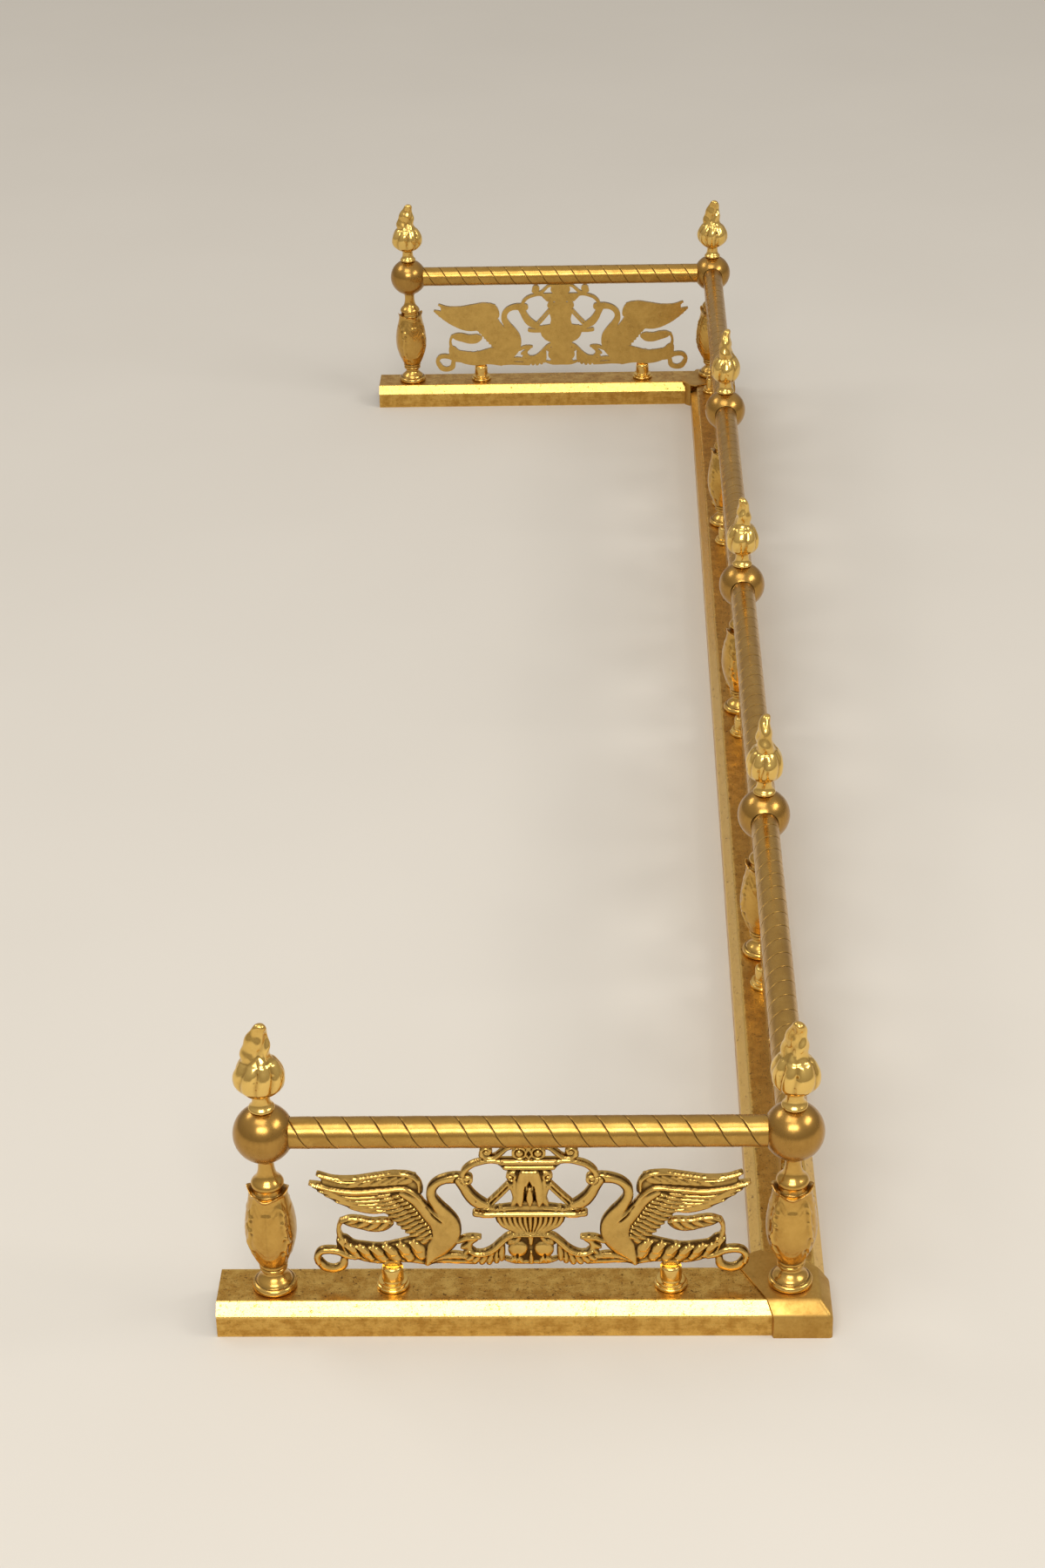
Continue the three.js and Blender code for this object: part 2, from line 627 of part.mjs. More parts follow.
/** Rail, casting and two studs for each bay of a run, with bays given as [name, middle, bay]. */
function fillBays(run, bays, ornament) {
  for (const [name, middle, bay] of bays) {
    const railing = mesh(`rail_${name}`, rail(bay), SATIN);
    const casting = mesh(`plaque_${name}`, plaque(bay, ornament), CAST);
    railing.position.x = middle;
    casting.position.x = middle;
    run.add(railing, casting);
    for (const [ending, x] of studPlaces(middle, bay, ornament)) {
      const post = mesh(`stud_${name}_${ending}`, stud(), POLISHED);
      post.position.set(x, 0, STUD_SEAT_Z);
      run.add(post);
    }
  }
}

/** Holes for the studs of every bay of a run. */
function studHoles(bays, ornament) {
  const places = bays.flatMap(([, middle, bay]) => studPlaces(middle, bay, ornament));
  return places.map(([, x]) => [x, RIVET_RADIUS + SEAT_GAP]);
}

/** A post at [x, y], numbered from the left end of the fender to the right end. */
function post(number, x, y, towardsRails, atCorner) {
  const stack = new THREE.Group();
  const seat = atCorner ? CAP_TOP : BASE_HEIGHT;
  const clamped = atCorner ? PLATE_TOP - PLATE_THICKNESS : BASE_HEIGHT - BASE_WALL;
  const sphere = mesh(`ball_${number}`, ball(towardsRails), SATIN);
  const top = mesh(`finial_${number}`, finial(), POLISHED);
  sphere.position.z = RAIL_AXIS_Z;
  top.position.z = RAIL_AXIS_Z + BALL_SEAT_Z + SEAT_GAP;
  stack.add(
    mesh(`tie_bolt_${number}`, tieBolt(clamped), STEEL),
    mesh(`baluster_${number}`, baluster(seat), CAST),
    sphere,
    top,
  );
  stack.position.set(x, y, 0);
  return stack;
}

const fender = new THREE.Group();

// The front run: one length of base, mitred at both ends, with a post between every two bays.
const front = new THREE.Group();
front.position.y = FRONT_AXIS_Y;
const frontBays = [];
const postX = [];
for (let i = 0; i < FRONT_BAYS; i += 1) {
  frontBays.push([`front_${i + 1}`, -CORNER_X + (i + 0.5) * FRONT_BAY, FRONT_BAY]);
  postX.push(-CORNER_X + i * FRONT_BAY);
}
postX.push(CORNER_X);
const frontHoles = postX.map((x) => [x, BORE_RADIUS]);
frontHoles.push(...studHoles(frontBays, FRONT_ORNAMENT));
front.add(mesh('base_front', baseLength(-CORNER_X, CORNER_X, true, true, frontHoles), SHEET));
fillBays(front, frontBays, FRONT_ORNAMENT);
fender.add(front);

// Both legs of a corner plate are as long as the run with less room allows.
const PLATE_LEG = Math.min(
  plateReach(FRONT_BAY, FRONT_ORNAMENT),
  plateReach(RETURN_BAY, RETURN_ORNAMENT),
);

// The returns: each is drawn along X as seen from outside, then turned back from its corner.
for (const [side, sign] of [['left', -1], ['right', 1]]) {
  const run = new THREE.Group();
  const bays = [[`return_${side}`, (sign * RETURN_BAY) / 2, RETURN_BAY]];
  const holes = [[0, BORE_RADIUS], [sign * RETURN_BAY, BORE_RADIUS]];
  holes.push(...studHoles(bays, RETURN_ORNAMENT));
  const from = Math.min(0, sign * RETURN_LENGTH);
  const to = Math.max(0, sign * RETURN_LENGTH);
  const base = baseLength(from, to, sign > 0, sign < 0, holes);
  run.add(mesh(`base_return_${side}`, base, SHEET));
  fillBays(run, bays, RETURN_ORNAMENT);
  run.rotation.z = (sign * Math.PI) / 2;
  run.position.set(sign * CORNER_X, FRONT_AXIS_Y, 0);
  fender.add(run);

  // The corner's cap and plate are drawn for the left corner and turned for the right one.
  const corner = new THREE.Group();
  corner.add(mesh(`corner_cap_${side}`, cornerCap(), SATIN));
  corner.add(mesh(`corner_plate_${side}`, cornerPlate(PLATE_LEG), STEEL));
  corner.rotation.z = sign > 0 ? Math.PI / 2 : 0;
  corner.position.set(sign * CORNER_X, FRONT_AXIS_Y, 0);
  fender.add(corner);
}

// The posts, from the left end round to the right end.
const EAST = 0;
const NORTH = Math.PI / 2;
const WEST = Math.PI;
const SOUTH = -Math.PI / 2;
const END_Y = FRONT_AXIS_Y + RETURN_BAY;
let postNumber = 1;
fender.add(post(postNumber, -CORNER_X, END_Y, [SOUTH], false));
for (const x of postX) {
  postNumber += 1;
  const atLeft = x === postX[0];
  const atRight = x === postX[postX.length - 1];
  const towards = [atLeft ? NORTH : WEST, atRight ? NORTH : EAST];
  fender.add(post(postNumber, x, FRONT_AXIS_Y, towards, atLeft || atRight));
}
postNumber += 1;
fender.add(post(postNumber, CORNER_X, END_Y, [SOUTH], false));

export default fender;
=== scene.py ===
# A brass fire fender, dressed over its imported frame. Its own measures are millimetres, as in a
# workshop drawing, and each section turns them into metres as it makes its mesh.
import math

import bpy
import numpy as np
from mathutils import Matrix, Vector
from mathutils.geometry import delaunay_2d_cdt


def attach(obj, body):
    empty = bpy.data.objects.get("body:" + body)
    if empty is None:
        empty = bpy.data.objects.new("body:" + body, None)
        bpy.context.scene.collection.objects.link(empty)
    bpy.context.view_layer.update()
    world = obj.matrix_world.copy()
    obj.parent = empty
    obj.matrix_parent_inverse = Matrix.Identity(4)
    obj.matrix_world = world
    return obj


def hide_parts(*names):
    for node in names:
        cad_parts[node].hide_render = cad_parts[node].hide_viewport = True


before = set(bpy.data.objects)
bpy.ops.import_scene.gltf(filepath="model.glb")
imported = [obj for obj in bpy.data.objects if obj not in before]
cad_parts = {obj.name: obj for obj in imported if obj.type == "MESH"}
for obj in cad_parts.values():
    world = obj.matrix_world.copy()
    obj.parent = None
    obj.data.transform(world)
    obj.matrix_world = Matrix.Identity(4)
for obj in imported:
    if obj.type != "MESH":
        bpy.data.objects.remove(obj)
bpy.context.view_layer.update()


# ---- Base -----------------------------------------------------------------------------------
# Three lengths of sheet brass, each folded to a channel that opens downwards, its top edges
# chamfered, and cut at 45 degrees where it meets its neighbour. The brass has its own clouds of
# tarnish and age spots, and its bends are rubbed bright by hands and cloths. Over that, the
# tops are painted browner and more spotted and the chamfers brighter by how far the sheet faces
# up: painted shade on the tops and a painted highlight on the chamfers.
FRONT_LINE = -159.75
CORNER = 752.0
BASE_TOP = 22.0
RETURN_RUN = 344.0
MITRE_GAP = 0.15
STATION_GAP = 8
WAVED_FROM = 15
BEND_STEPS = 4
WEAR_REACH = 1.1
WEAR_SHARE = 0.2
PLACE_FRONT = "front"
PLACE_LEFT = "left"
PLACE_RIGHT = "right"
FOLDED_SHEET = [(22, 0), (22, 14.5), (15.5, 22), (-15.5, 22), (-22, 14.5), (-22, 0),
                (-20, 0), (-20, 13.75), (-14.59, 20), (14.59, 20), (20, 13.75), (20, 0)]
BEND_RADII = [0.3, 1.5, 1.5, 1.5, 1.5, 0.3, 0.3, 0.5, 0.5, 0.5, 0.5, 0.3]


def placed(run, points):
    """Points drawn along X and seen from outside, moved to the front run or a return."""
    x, y, z = np.asarray(points, float).T
    if run == PLACE_FRONT:
        return np.column_stack([x, y + FRONT_LINE, z])
    if run == PLACE_LEFT:
        return np.column_stack([y - CORNER, FRONT_LINE - x, z])
    return np.column_stack([CORNER - y, FRONT_LINE + x, z])


def smoothed(mesh, finish, sharp):
    """The mesh's finish, and its faces smooth apart from edges sharper than `sharp` degrees."""
    mesh.polygons.foreach_set("use_smooth", np.ones(len(mesh.polygons), bool))
    mesh.set_sharp_from_angle(angle=math.radians(sharp))
    mesh.materials.clear()
    mesh.materials.append(finish)


def metal_piece(name, points, faces, finish, sharp, values=None, unwrapped=None):
    """A piece from points in millimetres and faces in groups, each of one number of sides. The
    finish may read `values` at the points, and `unwrapped`, the points' places on flat sheet."""
    mesh = bpy.data.meshes.new(name)
    points = np.asarray(points, float) / 1000
    faces = [np.asarray(group, np.int64) for group in faces]
    sizes = np.concatenate([np.full(len(group), group.shape[1]) for group in faces])
    corners = np.concatenate([group.ravel() for group in faces])
    mesh.vertices.add(len(points))
    mesh.vertices.foreach_set("co", points.ravel())
    mesh.loops.add(len(corners))
    mesh.loops.foreach_set("vertex_index", corners)
    mesh.polygons.add(len(sizes))
    mesh.polygons.foreach_set("loop_start", np.concatenate([[0], np.cumsum(sizes)[:-1]]))
    mesh.update(calc_edges=True)
    mesh.validate()
    for key, amounts in (values or {}).items():
        mesh.attributes.new(key, "FLOAT", "POINT").data.foreach_set("value", amounts)
    if unwrapped is not None:
        spread = np.asarray(unwrapped, float)[corners] / 1000
        mesh.uv_layers.new(name="UVMap").data.foreach_set("uv", spread.ravel())
    smoothed(mesh, finish, sharp)
    piece = bpy.data.objects.new(name, mesh)
    bpy.context.scene.collection.objects.link(piece)
    return piece


def grid_faces(rows, columns, closed_round=True):
    """Quads of a grid of points, row after row, whose columns may run right round."""
    across = columns if closed_round else columns - 1
    row, column = np.meshgrid(np.arange(rows - 1), np.arange(across), indexing="ij")
    here = row * columns + column
    beside = row * columns + (column + 1) % columns
    quads = np.stack([here, beside, beside + columns, here + columns], -1)
    return quads.reshape(-1, 4)


def softened(outline, radius):
    """A closed outline with each corner rounded, as [x, y, wear], and wear on the bends only."""
    points = np.asarray(outline, float)
    made = []
    for i, corner in enumerate(points):
        before, after = points[i - 1], points[(i + 1) % len(points)]
        into, away = corner - before, after - corner
        into, away = into / np.hypot(*into), away / np.hypot(*away)
        turn = math.acos(float(np.clip(into @ away, -1, 1)))
        size = radius[i] * math.tan(turn / 2)
        start, end = corner - into * size, corner + away * size
        lead = min(WEAR_REACH, WEAR_SHARE * np.hypot(*(corner - before)))
        trail = min(WEAR_REACH, WEAR_SHARE * np.hypot(*(after - corner)))
        made.append([*(start - into * lead), 0.0])
        for k in range(BEND_STEPS + 1):
            u = k / BEND_STEPS
            bent = (1 - u) ** 2 * start + 2 * u * (1 - u) * corner + u * u * end
            made.append([*bent, 1.0 - abs(2 * u - 1) * 0.5])
        made.append([*(end + away * trail), 0.0])
    return np.array(made)


def wire(tree, kind, feeds=None, **settings):
    """A shader or geometry node with its settings, its sockets fed by values or other sockets."""
    made = tree.nodes.new(kind)
    for key, value in settings.items():
        setattr(made, key, value)
    for key, value in (feeds or {}).items():
        if isinstance(value, bpy.types.NodeSocket):
            tree.links.new(value, made.inputs[key])
        else:
            made.inputs[key].default_value = value
    return made


def remap(tree, value, low, high, to_low=0.0, to_high=1.0):
    """A value's range drawn on to another range, held at both ends."""
    feeds = {0: value, 1: low, 2: high, 3: to_low, 4: to_high}
    return wire(tree, "ShaderNodeMapRange", feeds, interpolation_type="SMOOTHSTEP").outputs[0]


def reckon(tree, what, *values):
    """One sum of plain numbers and sockets."""
    return wire(tree, "ShaderNodeMath", dict(enumerate(values)), operation=what).outputs[0]


def blend_colour(tree, amount, under, over):
    """One colour laid over another."""
    feeds = {0: amount, 6: under, 7: over}
    return wire(tree, "ShaderNodeMix", feeds, data_type="RGBA").outputs[2]


def named_tree(name, kind, inputs, outputs):
    """An empty node tree with named inputs and outputs."""
    tree = bpy.data.node_groups.new(name, kind)
    for way, sockets in (("INPUT", inputs), ("OUTPUT", outputs)):
        for title, value in sockets.items():
            tree.interface.new_socket(title, in_out=way, socket_type=f"NodeSocket{value}")
    return tree


def brass_skin_group():
    """The skin that every brass piece here shares: clouds of tarnish, age spots, brown in the
    hollows, bright rubbed edges, and the fine streaks of the polisher's cloth."""
    tree = named_tree(
        "brass_skin", "ShaderNodeTree",
        {"Vector": "Vector", "Cloud scale": "Float", "Tarnish": "Float", "Spots": "Float",
         "Hollow": "Float", "Worn": "Float", "Streaks": "Vector", "Bright": "Color",
         "Aged": "Color", "Brown": "Color", "Smooth": "Float", "Rough": "Float"},
        {"Color": "Color", "Roughness": "Float", "Height": "Float"})
    given = tree.nodes.new("NodeGroupInput").outputs
    result = tree.nodes.new("NodeGroupOutput").inputs
    place, scale = given["Vector"], given["Cloud scale"]

    def cloudy(times, detail, rough=0.55):
        """Noise whose grain is the clouds' own, made so many times finer."""
        feeds = {"Vector": place, "Scale": reckon(tree, "MULTIPLY", scale, times),
                 "Detail": detail, "Roughness": rough}
        return wire(tree, "ShaderNodeTexNoise", feeds).outputs[0]

    cloud = remap(tree, cloudy(1.0, 6.0, 0.7), 0.30, 0.74)
    fine = cloudy(9.0, 4.0)
    pits = remap(tree, cloudy(17.0, 2.0), 0.60, 0.67)
    broad_pits = remap(tree, cloudy(5.2, 6.0, 0.7), 0.55, 0.66)
    drawn = wire(tree, "ShaderNodeVectorMath", {0: place, 1: given["Streaks"]},
                 operation="MULTIPLY").outputs[0]
    streak = wire(tree, "ShaderNodeTexNoise", {"Vector": drawn, "Scale": 1.0, "Detail": 3.0,
                                               "Roughness": 0.6}).outputs[0]
    # age spots, thickest where the clouds are
    spotted = reckon(tree, "MULTIPLY", reckon(tree, "MAXIMUM", pits, broad_pits),
                     reckon(tree, "MULTIPLY", given["Spots"],
                            reckon(tree, "MULTIPLY_ADD", cloud, 0.8, 0.2)))
    # tarnish in streaks, grains and clouds, rubbed away where the piece is worn
    tarnish = reckon(tree, "MULTIPLY", given["Tarnish"],
                     reckon(tree, "MULTIPLY_ADD", streak, 0.8,
                            reckon(tree, "MULTIPLY_ADD", fine, 0.55,
                                   reckon(tree, "MULTIPLY", cloud, 0.5))))
    tarnish = reckon(tree, "SUBTRACT", tarnish, reckon(tree, "MULTIPLY", given["Worn"], 0.9))
    tarnish = remap(tree, tarnish, 0.1, 1.25)
    # brown in the spots and the hollows
    brown = reckon(tree, "MAXIMUM", spotted,
                   reckon(tree, "MULTIPLY", given["Hollow"],
                          reckon(tree, "MULTIPLY_ADD", fine, 0.5, 0.72)))
    brown = remap(tree, brown, 0.0, 1.0)
    colour = blend_colour(tree, tarnish, given["Bright"], given["Aged"])
    colour = blend_colour(tree, brown, colour, given["Brown"])
    tree.links.new(colour, result["Color"])
    # what is tarnished or brown is duller, and stands a little off the metal
    dull = reckon(tree, "MAXIMUM", tarnish, brown)
    dull = reckon(tree, "MULTIPLY_ADD", streak, 0.3, reckon(tree, "MULTIPLY", dull, 0.8))
    rough = reckon(tree, "MULTIPLY_ADD", dull,
                   reckon(tree, "SUBTRACT", given["Rough"], given["Smooth"]), given["Smooth"])
    tree.links.new(rough, result["Roughness"])
    height = reckon(tree, "MULTIPLY_ADD", streak, 0.35, reckon(tree, "MULTIPLY", fine, 0.5))
    height = reckon(tree, "SUBTRACT", height, reckon(tree, "MULTIPLY", brown, 0.5))
    tree.links.new(height, result["Height"])
    return tree


brass_skin = brass_skin_group()


def brass(name, bright, aged, brown, smooth, rough, cloud, tarnish, spots, streaks,
          hollow=None, worn=None, by_uv=False, bump=0.12):
    """One brass finish, from the shared skin with its own colours and wear."""
    finish = bpy.data.materials.new(name)
    finish.use_nodes = True
    tree = finish.node_tree
    shader = tree.nodes["Principled BSDF"]
    shader.inputs["Metallic"].default_value = 1.0
    where = wire(tree, "ShaderNodeTexCoord").outputs["UV" if by_uv else "Object"]
    skin = wire(tree, "ShaderNodeGroup", node_tree=brass_skin)
    tree.links.new(where, skin.inputs["Vector"])
    values = {"Cloud scale": cloud, "Tarnish": tarnish, "Spots": spots, "Streaks": streaks,
              "Bright": (*bright, 1), "Aged": (*aged, 1), "Brown": (*brown, 1),
              "Smooth": smooth, "Rough": rough}
    for title, value in values.items():
        skin.inputs[title].default_value = value
    for title, key in (("Hollow", hollow), ("Worn", worn)):
        if key:
            read = wire(tree, "ShaderNodeAttribute", attribute_name=key)
            tree.links.new(read.outputs["Fac"], skin.inputs[title])
    tree.links.new(skin.outputs["Color"], shader.inputs["Base Color"])
    tree.links.new(skin.outputs["Roughness"], shader.inputs["Roughness"])
    bumped = wire(tree, "ShaderNodeBump", {"Strength": bump, "Distance": 0.0004,
                                           "Height": skin.outputs["Height"]})
    tree.links.new(bumped.outputs[0], shader.inputs["Normal"])
    return finish


sheet_brass = brass("sheet_brass", bright=(0.80, 0.52, 0.14), aged=(0.50, 0.265, 0.05),
                    brown=(0.16, 0.075, 0.018), smooth=0.2, rough=0.42, cloud=70.0,
                    tarnish=0.9, spots=0.55, streaks=(90.0, 700.0, 1.0), worn="worn",
                    by_uv=True, bump=0.12)


def shade_and_tarnish_by_facing(finish):
    """Tarnish and spots set by how far the sheet faces up: the top browner and more spotted, the
    walls less spotted and the chamfers bright. On the top this is painted shade and on the
    chamfers a painted highlight, laid over the brass's own tarnish, which lies in patches along
    the sheet."""
    tree = finish.node_tree
    skin = next(node for node in tree.nodes if node.type == "GROUP")
    normal = wire(tree, "ShaderNodeNewGeometry").outputs["Normal"]
    upward = wire(tree, "ShaderNodeSeparateXYZ", {0: normal}).outputs["Z"]
    on_top = remap(tree, upward, 0.82, 0.98)
    on_wall = remap(tree, upward, 0.30, 0.05)
    # tarnish heavy on the top and walls and light on the chamfers: painted shade on the top and a
    # painted highlight on the chamfers
    tarnish_and_painted_shade = reckon(tree, "MULTIPLY_ADD", on_top, 0.72,
                     reckon(tree, "MULTIPLY_ADD", on_wall, 0.65, 0.3))
    along_sheet = wire(tree, "ShaderNodeTexCoord").outputs["UV"]
    patches = wire(tree, "ShaderNodeTexNoise", {"Vector": along_sheet, "Scale": 120.0,
                                                "Detail": 6.0, "Roughness": 0.68}).outputs[0]
    patchy = remap(tree, patches, 0.34, 0.66, 0.58, 1.22)
    tree.links.new(reckon(tree, "MULTIPLY", tarnish_and_painted_shade, patchy), skin.inputs["Tarnish"])
    # spots heaviest on the top and fewest on the walls: painted shade on the top over the brass's
    # own age spots
    spotted = reckon(tree, "MULTIPLY_ADD", on_top, 0.5,
                     reckon(tree, "MULTIPLY_ADD", on_wall, -0.5, 1.2))
    tree.links.new(spotted, skin.inputs["Spots"])


# painted shade on the sheet's top and a painted highlight on its chamfers, over real tarnish
shade_and_tarnish_by_facing(sheet_brass)


def base_length(name, run, start, end, mitred_start, mitred_end):
    """One folded length, with stations along it close enough for the sheet's slight waves."""
    across, up, wear = softened(FOLDED_SHEET, BEND_RADII).T
    steps = np.hypot(np.diff(across, append=across[0]), np.diff(up, append=up[0]))
    around = np.cumsum(steps) - steps
    stations = np.linspace(0, 1, int((end - start) / STATION_GAP) + 1)[:, None]
    first = start + (across + MITRE_GAP if mitred_start else 0 * across)
    last = end - (across + MITRE_GAP if mitred_end else 0 * across)
    along = first + stations * (last - first)
    wave = 0.05 * np.sin(along / 61 + across / 9) + 0.04 * np.sin(along / 23.7 + 1.3 + up / 5)
    inward = -np.sign(across) * np.abs(wave) * (np.abs(across) > WAVED_FROM)
    points = np.stack([along, across + inward, up + 0 * along], -1).reshape(-1, 3)
    spread = np.stack([along, around + 0 * along], -1).reshape(-1, 2)
    count = len(across)
    ring = np.arange(count)
    ends = np.array([ring[::-1], (len(stations) - 1) * count + ring])
    sides = grid_faces(len(stations), count)
    piece = metal_piece(f"folded_{name}", placed(run, points), [sides, ends], sheet_brass,
                        sharp=34, values={"worn": np.tile(wear, len(stations))},
                        unwrapped=spread)
    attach(piece, "root")
    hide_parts(name)


base_length("base_front", PLACE_FRONT, -CORNER, CORNER, True, True)
base_length("base_return_left", PLACE_LEFT, -RETURN_RUN, 0, False, True)
base_length("base_return_right", PLACE_RIGHT, 0, RETURN_RUN, True, False)


# ---- Corner plates and tie bolts --------------------------------------------------------------
# Inside the base an angle of steel ties each mitre, and a long steel bolt runs up through every
# post from under the base into its finial. They show only from below, dull grey with some rust.
def plain_steel():
    """Old mild steel: grey, drawn grain, rust in clouds."""
    finish = bpy.data.materials.new("plain_steel")
    finish.use_nodes = True
    tree = finish.node_tree
    shader = tree.nodes["Principled BSDF"]
    shader.inputs["Metallic"].default_value = 1.0
    where = wire(tree, "ShaderNodeTexCoord").outputs["Object"]
    rust = wire(tree, "ShaderNodeTexNoise",
                {"Vector": where, "Scale": 90.0, "Detail": 6.0}).outputs[0]
    grain = wire(tree, "ShaderNodeTexNoise",
                 {"Vector": where, "Scale": 900.0, "Detail": 2.0}).outputs[0]
    rusty = remap(tree, rust, 0.5, 0.68)
    colour = blend_colour(tree, rusty, (0.36, 0.36, 0.37, 1), (0.17, 0.085, 0.045, 1))
    tree.links.new(colour, shader.inputs["Base Color"])
    tree.links.new(remap(tree, rusty, 0.0, 1.0, 0.42, 0.8), shader.inputs["Roughness"])
    bumped = wire(tree, "ShaderNodeBump", {"Strength": 0.2, "Distance": 0.0003, "Height": grain})
    tree.links.new(bumped.outputs[0], shader.inputs["Normal"])
    return finish


steel = plain_steel()
STEEL_NODES = ["corner_plate_left", "corner_plate_right"] + [f"tie_bolt_{i}" for i in range(1, 8)]
for name in STEEL_NODES:
    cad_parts[name].material_slots[0].material = steel


# ---- Corner caps ------------------------------------------------------------------------------
# A thin brass casting over each mitre: chamfered like the base and a little proud of it, cut off
# square across both arms' outer sides, slanting in to a round lobe over the inner corner. It has
# a duller, softer skin than the sheet.
CAP_HALF = 24.5
CAP_CLEAR = 30.0
CAP_TOP = 23.5
CAP_CHAMFER = (7.5, 8.0)
CAP_LOBE = 19.6
CAP_INNER = 30.5
CAP_SHOULDER = 16.0
CAP_SLANT = 8.0
CAP_BEVEL = 2.0
CAP_BEVEL_STEPS = 4
LOBE_STEPS = 32
SHEET_ROOM = 22.3
SHEET_CHAMFER = (6.5, 7.5)
ARM_REACH = 92.0

cap_brass = brass("cap_brass", bright=(0.66, 0.42, 0.115), aged=(0.42, 0.225, 0.045),
                  brown=(0.16, 0.085, 0.03), smooth=0.3, rough=0.52, cloud=52.0, tarnish=0.75,
                  spots=0.45, streaks=(60.0, 60.0, 60.0), bump=0.14)


def points_of(mesh):
    """A mesh's points as rows."""
    flat = np.empty(len(mesh.vertices) * 3)
    mesh.vertices.foreach_get("co", flat)
    return flat.reshape(-1, 3)


def loose(name, points, faces):
    """A working object that is joined or cut and then removed."""
    mesh = bpy.data.meshes.new(name)
    mesh.from_pydata([tuple(p) for p in points], [], [tuple(f) for f in faces])
    made = bpy.data.objects.new(name, mesh)
    bpy.context.scene.collection.objects.link(made)
    return made


def upright_prism(name, plan, bottom, top):
    """A working prism on a plan that runs anticlockwise."""
    count = len(plan)
    points = [(x, y, z) for z in (bottom, top) for x, y in plan]
    faces = [tuple(range(count))[::-1], tuple(range(count, 2 * count))]
    faces += [(i, (i + 1) % count, (i + 1) % count + count, i + count) for i in range(count)]
    return loose(name, points, faces)


def hipped(name, half, across, down, top, bottom):
    """All that lies under the chamfered roofs of both arms of a corner, out past the cap."""
    low, flat = -half, -half + across
    ring = [(low, low), (ARM_REACH, low), (ARM_REACH, ARM_REACH), (low, ARM_REACH)]
    inner = [(flat, flat), (ARM_REACH, flat), (ARM_REACH, ARM_REACH), (flat, ARM_REACH)]
    points = [(x, y, bottom) for x, y in ring] + [(x, y, top - down) for x, y in ring]
    points += [(x, y, top) for x, y in inner]
    faces = [(3, 2, 1, 0), (8, 9, 10, 11), (0, 1, 5, 4), (3, 0, 4, 7), (4, 5, 9, 8), (7, 4, 8, 11),
             (1, 2, 6, 5), (2, 3, 7, 6), (5, 6, 10, 9), (6, 7, 11, 10)]
    return loose(name, points, faces)


def combined(first, second, how):
    """The first working object joined with or cut by the second, which is then removed."""
    step = first.modifiers.new("combine", "BOOLEAN")
    step.operation, step.object, step.solver = how, second, "EXACT"
    bpy.context.view_layer.update()
    shown = first.evaluated_get(bpy.context.evaluated_depsgraph_get())
    result = bpy.data.meshes.new_from_object(shown)
    first.modifiers.clear()
    first.data = result
    bpy.data.objects.remove(second)
    return first


def cap_plan():
    """The cap's plan, for arms that run along +X and +Y from the post."""
    half_chord = (CAP_INNER - CAP_SHOULDER) / math.sqrt(2)
    centre = (CAP_INNER + CAP_SHOULDER) / 2 - math.sqrt(CAP_LOBE**2 - half_chord**2) / math.sqrt(2)
    first = math.atan2(CAP_SHOULDER - centre, CAP_INNER - centre)
    angles = np.linspace(first, math.pi / 2 - first, LOBE_STEPS + 1)
    lobe = [(centre + CAP_LOBE * np.cos(a), centre + CAP_LOBE * np.sin(a)) for a in angles]
    return [(-CAP_CLEAR, -CAP_CLEAR), (CAP_SLANT, -CAP_CLEAR), *lobe, (-CAP_CLEAR, CAP_SLANT)]


def corner_cap(name, side):
    """The cap, hollowed to ride over the two arms of the base, its edges softened."""
    roof = hipped("roof", CAP_HALF, *CAP_CHAMFER, CAP_TOP, -6.0)
    soft = roof.modifiers.new("softened", "BEVEL")
    soft.width, soft.segments = CAP_BEVEL, CAP_BEVEL_STEPS
    soft.limit_method, soft.angle_limit = "ANGLE", math.radians(25)
    cap = upright_prism(f"cast_{name}", cap_plan(), 0.0, CAP_TOP + 2)
    cap = combined(cap, roof, "INTERSECT")
    hollow = hipped("hollow", SHEET_ROOM, *SHEET_CHAMFER, SHEET_ROOM, -1.0)
    past = ARM_REACH + 3.0
    beside = [(SHEET_ROOM, SHEET_ROOM), (past, SHEET_ROOM), (past, past), (SHEET_ROOM, past)]
    kept = upright_prism("kept", beside, -2.0, 40.0)
    cap = combined(cap, combined(hollow, kept, "DIFFERENCE"), "DIFFERENCE")
    mesh = cap.data
    points = points_of(mesh)
    turned = points[:, [1, 0, 2]] * [-1, 1, 1] if side > 0 else points
    turned = (turned + [side * CORNER, FRONT_LINE, 0]) / 1000
    mesh.vertices.foreach_set("co", turned.ravel())
    smoothed(mesh, cap_brass, 32)
    mesh.name = cap.name
    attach(cap, "root")
    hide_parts(name)


corner_cap("corner_cap_left", -1)
corner_cap("corner_cap_right", 1)


# ---- Studs ------------------------------------------------------------------------------------
# Twelve turned brass studs, two to each bay. Each has a stepped foot, a barrel with a domed
# shoulder and a saw cut across its top for the casting's tongue, and is riveted through the base.
# They are the most polished pieces, and mirror the metal that they stand on.
BAY = 376.0
RETURN_BAY = 310.0
RETURN_MIDDLE = RETURN_BAY / 2
FRONT_BAYS = {f"front_{i + 1}": BAY * (i - 1.5) for i in range(4)}
STUD_OFFSET = {"front": 144.44, "return": 83.55}
STUD_PROFILE = [
    (0, 18.4), (2.9, 18.45), (3.8, 18.9), (4, 19.5), (3.8, 20.0), (2, 20.0), (2, 22.3),
    (9.7, 22.3), (10, 22.6), (10, 23.9), (9.6, 24.4), (8.7, 24.6), (8.5, 24.8), (8.9, 25.2),
    (9, 25.9), (8.7, 26.6), (7.7, 26.9), (6.7, 27.0), (6.5, 27.3), (6.55, 28.6), (6.6, 31.5),
    (6.55, 34.0), (6.35, 35.6), (5.9, 36.6), (5.1, 37.1), (3.6, 37.28), (0, 37.3),
]
